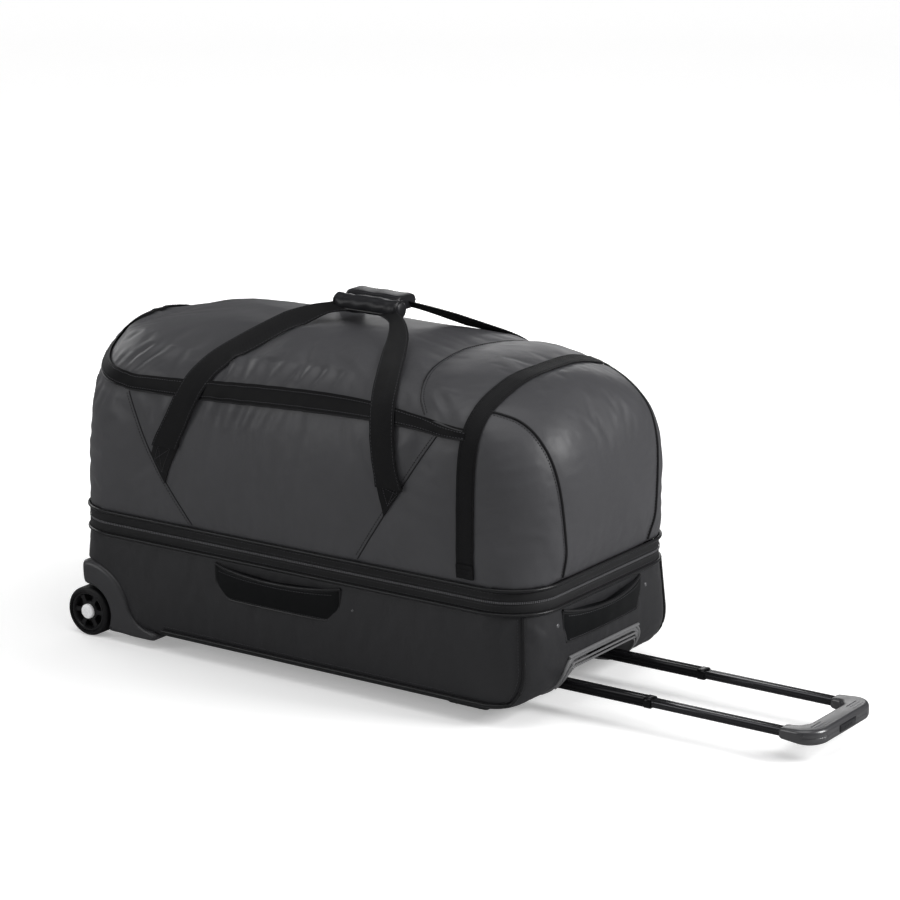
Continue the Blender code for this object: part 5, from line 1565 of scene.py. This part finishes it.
def make_carry(name, side, grip_y, grip_z, grip_left, grip_right, narrow):
    """A webbing loop from one pivot over the grip to the other; its cut ends are sewn into the seams."""
    half_loops = []
    for line, grip_x in ((LEFT_STRAP, grip_left), (RIGHT_STRAP, grip_right)):
        half = []
        for z in (HANDLE_PIVOT.z + 0.0008, 0.300, 0.318, 0.336, 0.354, 0.372, 0.388, 0.400):
            x = strap_x(line, min(z, 0.388))
            point, normal = surface(x, phi_at(x, z), side)
            lift = 0.0034 + 0.0022 * ease(z, 0.345, 0.375)
            laid, _ = SKIN.lay([point], 0.0)
            height = max((Vector(laid[0]) - point).dot(normal), -0.001)
            half.append((*(point + normal * (lift + height)), *normal))
        shoulder = Vector(half[-1][:3])
        goal = Vector((grip_x, grip_y, grip_z))
        for share in (0.2, 0.4, 0.6, 0.8, 1.0):
            point = shoulder.lerp(goal, share)
            point.z += 0.0055 * sin(pi * share)
            lean = 0.72 + 0.14 * share if side < 0 else 0.60 - 0.25 * share
            normal = Vector((0, side * lean, 0.60)).normalized()
            half.append((*point, *normal))
        half_loops.append(half)
    middle = [(grip_left * (1 - s) + grip_right * s, grip_y, grip_z, 0, side * 0.6, 0.8)
              for s in (0.25, 0.5, 0.75)]
    fine = smooth_path(np.array(half_loops[0] + middle + half_loops[1][::-1]), 0.005)
    path, normals = fine[:, :3], unit(fine[:, 3:])
    # The webbing is stiff: kinks are eased out of it, and it is then pushed clear of the bag
    calm = ease(np.minimum(np.arange(len(path)), np.arange(len(path))[::-1]), 6, 16)[:, None] * 0.5
    for turn in range(150):
        path[1:-1] += calm[1:-1] * ((path[:-2] + path[2:]) / 2 - path[1:-1])
        normals[1:-1] = unit(normals[1:-1] + calm[1:-1] * (normals[:-2] + normals[2:]))
        if turn % 15:
            continue
        for k, p in enumerate(path):
            place, normal, _, _ = SKIN.tree.find_nearest(Vector(p))
            over_flap = 1 - ease(abs(p[2] - zip_level(p[0], p[1])), 0.014, 0.034)
            short = 0.0036 + 0.0030 * over_flap - (Vector(p) - place).dot(normal)
            if short > 0:
                path[k] += np.array(normal) * short
    along = tangents(path)
    across = unit(np.cross(along, normals))
    rows = []
    for k in range(len(path)):
        beyond = max(abs(path[k][0] - (grip_left + grip_right) / 2) - (grip_right - grip_left) / 2, 0)
        half = (narrow + (WEBBING_WIDTH - narrow) * min(beyond / 0.035, 1.0)) / 2
        near_end = min(k, len(path) - 1 - k)
        direction = across[k]
        if near_end < 4:
            flat = np.array((np.sign(direction[0]), 0, 0))
            direction = unit(direction * near_end / 4 + flat * (1 - near_end / 4))
            half *= 1 + 0.13 * (1 - near_end / 4)
        cup = 0.0012 * min(beyond / 0.05, 1.0) if near_end > 14 else 0.0
        row = []
        for share in (-1, -0.55, 0, 0.55, 1):
            point = path[k] + direction * half * share - normals[k] * cup * share * share
            place, normal, _, _ = SKIN.tree.find_nearest(Vector(point))
            short = STRAP_GAP - (Vector(point) - place).dot(normal)
            row.append((point + np.array(normal) * max(short, 0.0), normals[k]))
        rows.append(row)
    loop = add_object(name + "_webbing", strip(rows, 0.0020, -0.0010), M["webbing"])
    edge_rows = []
    for a, b in ((0, 1), (4, 3)):
        line = np.array([row[a][0] * 0.7 + row[b][0] * 0.3 for row in rows])
        edge_rows.append(stitches(line + normals * 0.0011, normals, 0.0046, 0.0032, 0.0003))
    threads = add_object(name + "_stitches", merge(edge_rows), M["thread"])
    z = HANDLE_PIVOT.z
    # Two points a short height above the line through the loop's two pivots, handed to bend
    start, end = ((0, side * abs(HANDLE_PIVOT.y), z + rise) for rise in (0.002, 0.018))
    bend(loop, "upper_bag", name, start, end, name)
    bend(threads, "upper_bag", name, start, end)
    # Sewn ends, cut along the diagonal seams
    meshes, sewing = [], []
    for line, low_left, low_right in ((LEFT_STRAP, 0.2760, 0.2390), (RIGHT_STRAP, 0.2526, 0.2926)):
        lean = (line[1][0] - line[0][0]) / (line[1][1] - line[0][1])
        half_level = 0.5 * WEBBING_WIDTH * sqrt(1 + lean ** 2)
        sewn = []
        for t in np.linspace(0, 1, 9):
            row = []
            for s in (-1, -0.5, 0, 0.5, 1):
                foot_z = low_left + (low_right - low_left) * (s + 1) / 2
                level = foot_z + (z + 0.006 - foot_z) * t
                x = strap_x(line, level) + half_level * s
                row.append(section_point(x, phi_at(x, level), side))
            found, row_normals = SKIN.lay(row, 0.0, 1)
            sewn.append(list(zip(found, row_normals)))
        meshes.append(strip(sewn, 0.0020, 0.0004))
        box_path = [sewn[1][1], sewn[1][3], sewn[7][3], sewn[7][1], sewn[1][1]]
        cross = [sewn[1][1], sewn[7][3]], [sewn[7][1], sewn[1][3]]
        for run in (box_path, *cross):
            line_points = np.array([p for p, _ in run])
            dense = np.vstack([np.linspace(a, b, 12) for a, b in zip(line_points[:-1], line_points[1:])])
            laid, laid_normals = SKIN.lay(dense, 0.0026)
            sewing.append(stitches(laid, laid_normals, 0.0034, 0.0026, 0.00036))
    label = name.split("_")[0]
    attach(name + "_sewn_ends", merge(meshes), "webbing", "upper_bag", f"strap_end_{label}_left",
           f"strap_end_{label}_right")
    attach(name + "_box_stitches", merge(sewing), "thread", "upper_bag")


make_carry("front_carry_handle", -1, -0.0140, 0.4768, -0.0440, 0.0660, 0.018)
make_carry("rear_carry_handle", 1, 0.0220, 0.4790, -0.0420, 0.0480, 0.024)


def make_wraps():
    """A gathered padded roll on the front handle, and a flat padded sleeve on the rear one."""
    low, high = box("front_handle_wrap")
    middle, half = (low + high) / 2, (high.x - low.x) / 2
    rings, sides = [], 44
    for x in np.linspace(-half - 0.001, half + 0.001, 64):
        t = abs(x) / (half + 0.001)
        taper = 1 - 0.16 * ease(t, 0.86, 1.0) - (0.25 if t > 0.995 else 0)
        ring = []
        for k in range(sides):
            a = 2 * pi * k / sides
            fold = 0.035 * sin(x * 420 + 2.0 * sin(a)) * (0.35 + 0.65 * sin(a * 1.5) ** 2) * ease(t, 0.2, 0.9)
            dent = 0.05 * sin(x * 95 + 1.4) * sin(a + 0.6) + 0.025 * sin(x * 230 + 3 * a)
            r = 0.0124 * taper * (1 + fold + dent)
            ring.append(Vector((middle.x + x, middle.y + r * cos(a), middle.z + r * sin(a) * 0.97)))
        rings.append(ring)
    wrap = add_object("padded_roll", loft_mesh(rings), M["wrap"])
    wrap.data.shade_smooth()
    ride(wrap, "front_carry_handle", "front_handle_wrap")
    parts = []
    for x in (-half + 0.0035, half - 0.0035):
        parts.append(cord([(middle.x + x, middle.y + 0.0116 * cos(a), middle.z + 0.0113 * sin(a))
                           for a in np.linspace(0, 2 * pi, 40, endpoint=False)], 0.0011, True, 8, (1, 0, 0)))
    flap = [(middle.x + x, middle.y - 0.0104, middle.z - 0.0064)
            for x in np.linspace(-half + 0.003, half - 0.003, 24)]
    parts.append(cord(flap, 0.0014, sides=8))
    attach("padded_roll_binding", merge(parts), "piping", "front_carry_handle")
    low, high = box("rear_handle_wrap")
    middle, half = (low + high) / 2, (high.x - low.x) / 2
    rings = []
    for x in np.linspace(-half, half, 48):
        t = abs(x) / half
        flat = 1 - 0.10 * ease(t, 0.90, 1.0)
        outline = rounded_rectangle(0.0200, 0.0100, 0.0092, 8)
        ring = []
        for v, w in outline:
            ripple = 0.0005 * sin(x * 160 + v * 90)
            rim = 1 - 0.22 * ease(abs(v), 0.012, 0.020)
            ring.append(Vector((middle.x + x, middle.y + v, middle.z + (w * rim + ripple) * flat)))
        rings.append(ring)
    pad = add_object("padded_sleeve", loft_mesh(rings), M["wrap"])
    pad.data.shade_smooth()
    ride(pad, "rear_carry_handle", "rear_handle_wrap")
    parts, threads = [], []
    for v in (-0.0196, 0.0196):
        side_line = [(middle.x + x, middle.y + v, middle.z) for x in np.linspace(-half, half, 24)]
        parts.append(cord(side_line, 0.0016, sides=8))
        line = [(middle.x + x, middle.y + v * 0.80, middle.z + 0.0082)
                for x in np.linspace(-half + 0.004, half - 0.004, 30)]
        threads.append(stitches(line, np.tile((0, 0, 1.0), (30, 1))))
    for x in (-half + 0.001, half - 0.001):
        ring = [(middle.x + x, middle.y + v, middle.z + w * 0.86)
                for v, w in rounded_rectangle(0.0196, 0.0098, 0.009, 6)]
        parts.append(cord(smooth_path(ring, 0.003, True), 0.0012, True, 8, (1, 0, 0)))
    attach("padded_sleeve_binding", merge(parts), "piping", "rear_carry_handle")
    attach("padded_sleeve_stitches", merge(threads), "thread", "rear_carry_handle")


make_wraps()


# ---------------------------------------------------------------- sliders and the inside

def make_slider(node, out, down, top=None):
    """A zip slider with a bridge, a plated puller and a cord loop on it."""
    low, high = box(node)
    out, down = Vector(out), Vector(down)
    side = out.cross(down)
    corners = [low, high]
    reach = lambda d, pick: pick(c[i] * d[i] for c in corners for i in range(3) if abs(d[i]) > 0.5)
    middle = (low + high) / 2
    origin = side * middle.dot(side) + out * reach(out, min) + down * reach(down, min)
    if top is not None:
        # It comes out from under the storm flap and hangs along the cloth
        found, _ = SKIN.lay([(middle.x, high.y, top), (middle.x, high.y, top - 0.040)])
        origin = Vector(found[0])
        down = (Vector(found[1]) - origin).normalized()
        down = (down - side * down.dot(side)).normalized()
        out = down.cross(side)
        origin += out * 0.0006
    place = Matrix((side, down, out)).transposed().to_4x4()
    place.translation = origin

    def put(mesh):
        mesh.transform(place)
        return mesh

    body = prism([(0.0035 * u, 0.0060 + 0.0058 * v) for u, v in
                  ((-1.25, -1), (1.25, -1), (1.0, 0.2), (0.75, 1), (-0.75, 1), (-1.0, 0.2))], 0.0006, 0.0040,
                 "z", 0.0007, 2)
    bridge = cord([(0, 0.0015, 0.0040), (0, 0.0028, 0.0058), (0, 0.0085, 0.0058), (0, 0.0105, 0.0040)],
                  0.0009, sides=8, up=(1, 0, 0))
    tab = slab((0, 0.0135), 0.0036, 0.0072, 0.0022, 5, 0.0036, 0.0050, "z", 0.0004, 2)
    ring = [(0.0020 * cos(a), 0.0200 + 0.0016 * sin(a), 0.0043)
            for a in np.linspace(0, 2 * pi, 16, endpoint=False)]
    ride(add_object(node + "_body", merge([put(m) for m in (body, bridge, tab, cord(ring, 0.0006, True, 6))]),
                    M["slider"]), node, node)
    loop = smooth_path([(-0.0012, 0.0200, 0.0046), (-0.0022, 0.0260, 0.0036), (-0.0018, 0.0340, 0.0030),
                        (0.0, 0.0366, 0.0030), (0.0018, 0.0340, 0.0030), (0.0022, 0.0260, 0.0036),
                        (0.0012, 0.0200, 0.0046)], 0.0015)
    pull = [put(cord(loop, 0.0011, sides=8)),
            put(slab((0, 0.0345), 0.0036, 0.0060, 0.0022, 4, 0.0014, 0.0048, "z", 0.0010, 2))]
    attach(node + "_pull", merge(pull), "webbing", node)


make_slider("band_zip_slider_front", (-1, 0, 0), (0, -1, 0))
make_slider("band_zip_slider_rear", (-1, 0, 0), (0, 1, 0))
SLIDER_LOW, SLIDER_HIGH = box("lid_zip_slider")
SLIDER_X = (SLIDER_LOW.x + SLIDER_HIGH.x) / 2
make_slider("lid_zip_slider", (0, 1, 0), (0, 0, -1), zip_level(SLIDER_X - 0.07) - flap_half_width(SLIDER_X))


def make_inside():
    """The padded divider under the upper bag and the lined floor of the case, with tie-down straps."""
    low, high = box("divider_floor")
    nx, ny = 72, 36
    half_x, half_y = (high.x - low.x) / 2 - 0.002, (high.y - low.y) / 2 - 0.002
    rows = []
    for s, z in ((1, high.z), (-1, low.z)):
        grid = []
        for j in range(ny + 1):
            v = 2 * j / ny - 1
            row = []
            for i in range(nx + 1):
                u = 2 * i / nx - 1
                p = 0.0 if max(abs(u), abs(v)) < 1e-9 else (abs(u) ** 7 + abs(v) ** 5) ** (1 / 7)
                scale = 1.0 if p < 1e-9 else max(abs(u), abs(v)) / max(p, 1e-9) * 0.985
                quilt = abs(sin(u * pi * 3)) ** 0.5 * abs(sin(v * pi * 2)) ** 0.5
                rim = 1 - max(abs(u), abs(v)) ** 10
                height = z - s * 0.0010 + s * 0.0016 * quilt * rim
                row.append((u * half_x * scale, v * half_y * scale, height))
            grid.append(row)
        rows.append(grid)
    points = [p for grid in rows for row in grid for p in row]
    width = nx + 1
    other = width * (ny + 1)
    top_faces = bands(ny + 1, width, whole=False)
    faces = top_faces + [tuple(other + v for v in face) for face in top_faces]
    border = [*range(nx)] + [j * width + nx for j in range(ny)]
    border += [ny * width + i for i in range(nx, 0, -1)] + [j * width for j in range(ny, 0, -1)]
    for a, b in zip(border, border[1:] + border[:1]):
        faces.append((a, b, other + b, other + a))
    pad = add_object("padded_divider", mesh_of(points, faces), M["lining"])
    pad.data.shade_smooth()
    ride(pad, "upper_bag", "divider_floor")
    low, high = box("case_floor_board")
    rows = []
    for x in np.linspace(low.x + 0.001, high.x - 0.001, 60):
        rows.append([((x, y, high.z - 0.0016 + 0.0009 * sin(x * 42) * cos(y * 55)), (0, 0, 1))
                     for y in np.linspace(low.y + 0.001, high.y - 0.001, 24)])
    attach("lined_floor_board", strip(rows, 0.0024, -0.0012), "lining", "case", "case_floor_board")
    straps = []
    for y in (-0.060, 0.060):
        rows = [[((x, y + s * 0.0125, high.z + 0.0004 + 0.0035 * sin(pi * (x + 0.27) / 0.54)), (0, 0, 1))
                 for s in (-1, 0, 1)] for x in np.linspace(-0.270, 0.270, 60)]
        straps.append(strip(rows, 0.0012))
    attach("packing_straps", merge(straps), "webbing", "case")
    buckles = [slab((0.02, y), 0.022, 0.016, 0.005, 5, high.z + 0.0035, high.z + 0.0100, "z", 0.0018, 3)
               for y in (-0.060, 0.060)]
    attach("packing_buckles", merge(buckles), "grip", "case")


make_inside()

# The shown CAD nodes keep their own shape and take procedural finishes and softened edges
FINISHES = {"steel": ("wheel_axle", "wheel_bearing", "lock_rod"), "housing": ("trolley_base_bracket",)}
for node_name, node in frame["nodes"].items():
    if node.hide_render:
        continue
    for finish, starts in FINISHES.items():
        if node_name.startswith(starts):
            node.data.materials.clear()
            node.data.materials.append(M[finish])
            softened = node.modifiers.new("softened_edges", "BEVEL")
            softened.width, softened.segments, softened.limit_method = 0.0004, 2, "ANGLE"


# ---------------------------------------------------------------- stage

# Strengths of the white surroundings: as fill light, in reflections, and the paper's painted glow (light it
# gives off for camera rays only)
FILL, FLAGGED, PAPER_GLOW = 0.36, 0.08, (0.30, 0.66)
SWEEP_TURN = 34.5
# Each light's place, the point it faces, its width and height, and its power in watts
LIGHTS = (("top_softbox", (0.2, -0.5, 2.6), (0, 0, 0.2), 2.2, 1.8, 23),
          ("front_softbox", (-2.0, -2.6, 1.5), (-0.1, 0, 0.25), 1.4, 1.4, 22),
          ("right_softbox", (2.6, 0.8, 1.60), (0.30, 0, 0.33), 1.1, 1.1, 66),
          ("back_card", (-1.0, 2.5, 0.95), (0.55, 0, 0.10), 1.4, 0.7, 7),
          ("left_rim", (-2.6, 0.7, 1.2), (-0.3, 0, 0.3), 1.2, 1.2, 12))
CAMERA_PLACE, CAMERA_AZIMUTH, CAMERA_ELEVATION = (2.4753, -3.4076, 1.4042), 34.53, 15.02
FOCAL_LENGTH, SENSOR_WIDTH = 130.1, 36.0


def make_stage():
    """A pale seamless floor and backdrop, soft lights and the camera."""
    paper = Shader("floor_paper", (0.90, 0.90, 0.90), 0.7)
    paper.vary_roughness(paper.noise(0.4), 0.05)
    # Painted glow: the paper gives off light seen only by the camera, weaker near the bag and stronger
    # further out, so that it stays white away from the bag's shadow
    ray = paper.node("LightPath").outputs
    away = paper.node("VectorMath", {0: paper.place}, operation="LENGTH")
    reach = paper.node("MapRange", {"From Min": 0.45, "From Max": 1.90, "To Min": PAPER_GLOW[0],
                                    "To Max": PAPER_GLOW[1], "Value": away.outputs["Value"]},
                       interpolation_type="SMOOTHSTEP")
    glow = paper.math("MULTIPLY", ray["Is Camera Ray"], reach.outputs["Result"])
    # Painted darker reflection: in glossy rays the paper shows 0.22 instead of 0.90, so it looks dim in the
    # bag's reflections
    paper.mix_colour(ray["Is Glossy Ray"], (0.90, 0.90, 0.90, 1), (0.22, 0.22, 0.22, 1))
    paper.put(paper.shader, {"Emission Color": (1, 1, 1, 1), "Emission Strength": glow})
    rows = []
    profile = [(-14, 0.0), (6.0, 0.0)]
    profile += [(6.0 + 3 * sin(a), 3 - 3 * cos(a)) for a in np.linspace(0.1, pi / 2, 12)] + [(9.0, 12.0)]
    turn = radians(SWEEP_TURN)
    for across in (-16, 16):
        rows.append([(across * cos(turn) - d * sin(turn), across * sin(turn) + d * cos(turn), z - 0.00005)
                     for d, z in profile])
    floor_mesh = mesh_of(rows[0] + rows[1], bands(2, len(profile), whole=False))
    add_object("floor", floor_mesh, paper.material)
    world = bpy.data.worlds.new("studio")
    bpy.context.scene.world = world
    world.use_nodes = True
    # The paper sweep fills the view with white; black flags keep most of it out of the reflections
    nodes, links = world.node_tree.nodes, world.node_tree.links
    background = nodes["Background"]
    background.inputs["Color"].default_value = (1, 1, 1, 1)
    ray = nodes.new("ShaderNodeLightPath")
    seen = nodes.new("ShaderNodeMix")
    seen.inputs["A"].default_value, seen.inputs["B"].default_value = FILL, 1.0
    links.new(ray.outputs["Is Camera Ray"], seen.inputs["Factor"])
    mirrored = nodes.new("ShaderNodeMix")
    mirrored.inputs["B"].default_value = FLAGGED
    links.new(seen.outputs["Result"], mirrored.inputs["A"])
    links.new(ray.outputs["Is Glossy Ray"], mirrored.inputs["Factor"])
    links.new(mirrored.outputs["Result"], background.inputs["Strength"])

    for name, place, target, width, height, power in LIGHTS:
        light = bpy.data.lights.new(name, "AREA")
        light.shape = "RECTANGLE"
        light.size, light.size_y, light.energy = width, height, power
        lamp = bpy.data.objects.new(name, light)
        lamp.location = Vector(place) + MIDDLE
        lamp.rotation_euler = (Vector(target) - Vector(place)).to_track_quat("-Z", "Y").to_euler()
        COLLECTION.objects.link(lamp)
    camera = bpy.data.objects.new("camera", bpy.data.cameras.new("camera"))
    azimuth, elevation = radians(CAMERA_AZIMUTH), radians(CAMERA_ELEVATION)
    back = Vector((sin(azimuth) * cos(elevation), -cos(azimuth) * cos(elevation), sin(elevation)))
    camera.location = Vector(CAMERA_PLACE) + MIDDLE
    camera.rotation_euler = back.to_track_quat("Z", "Y").to_euler()
    camera.data.lens, camera.data.sensor_width = FOCAL_LENGTH, SENSOR_WIDTH
    camera.data.clip_end = 60
    COLLECTION.objects.link(camera)
    bpy.context.scene.camera = camera
    bpy.context.scene.view_settings.view_transform = "Standard"


make_stage()
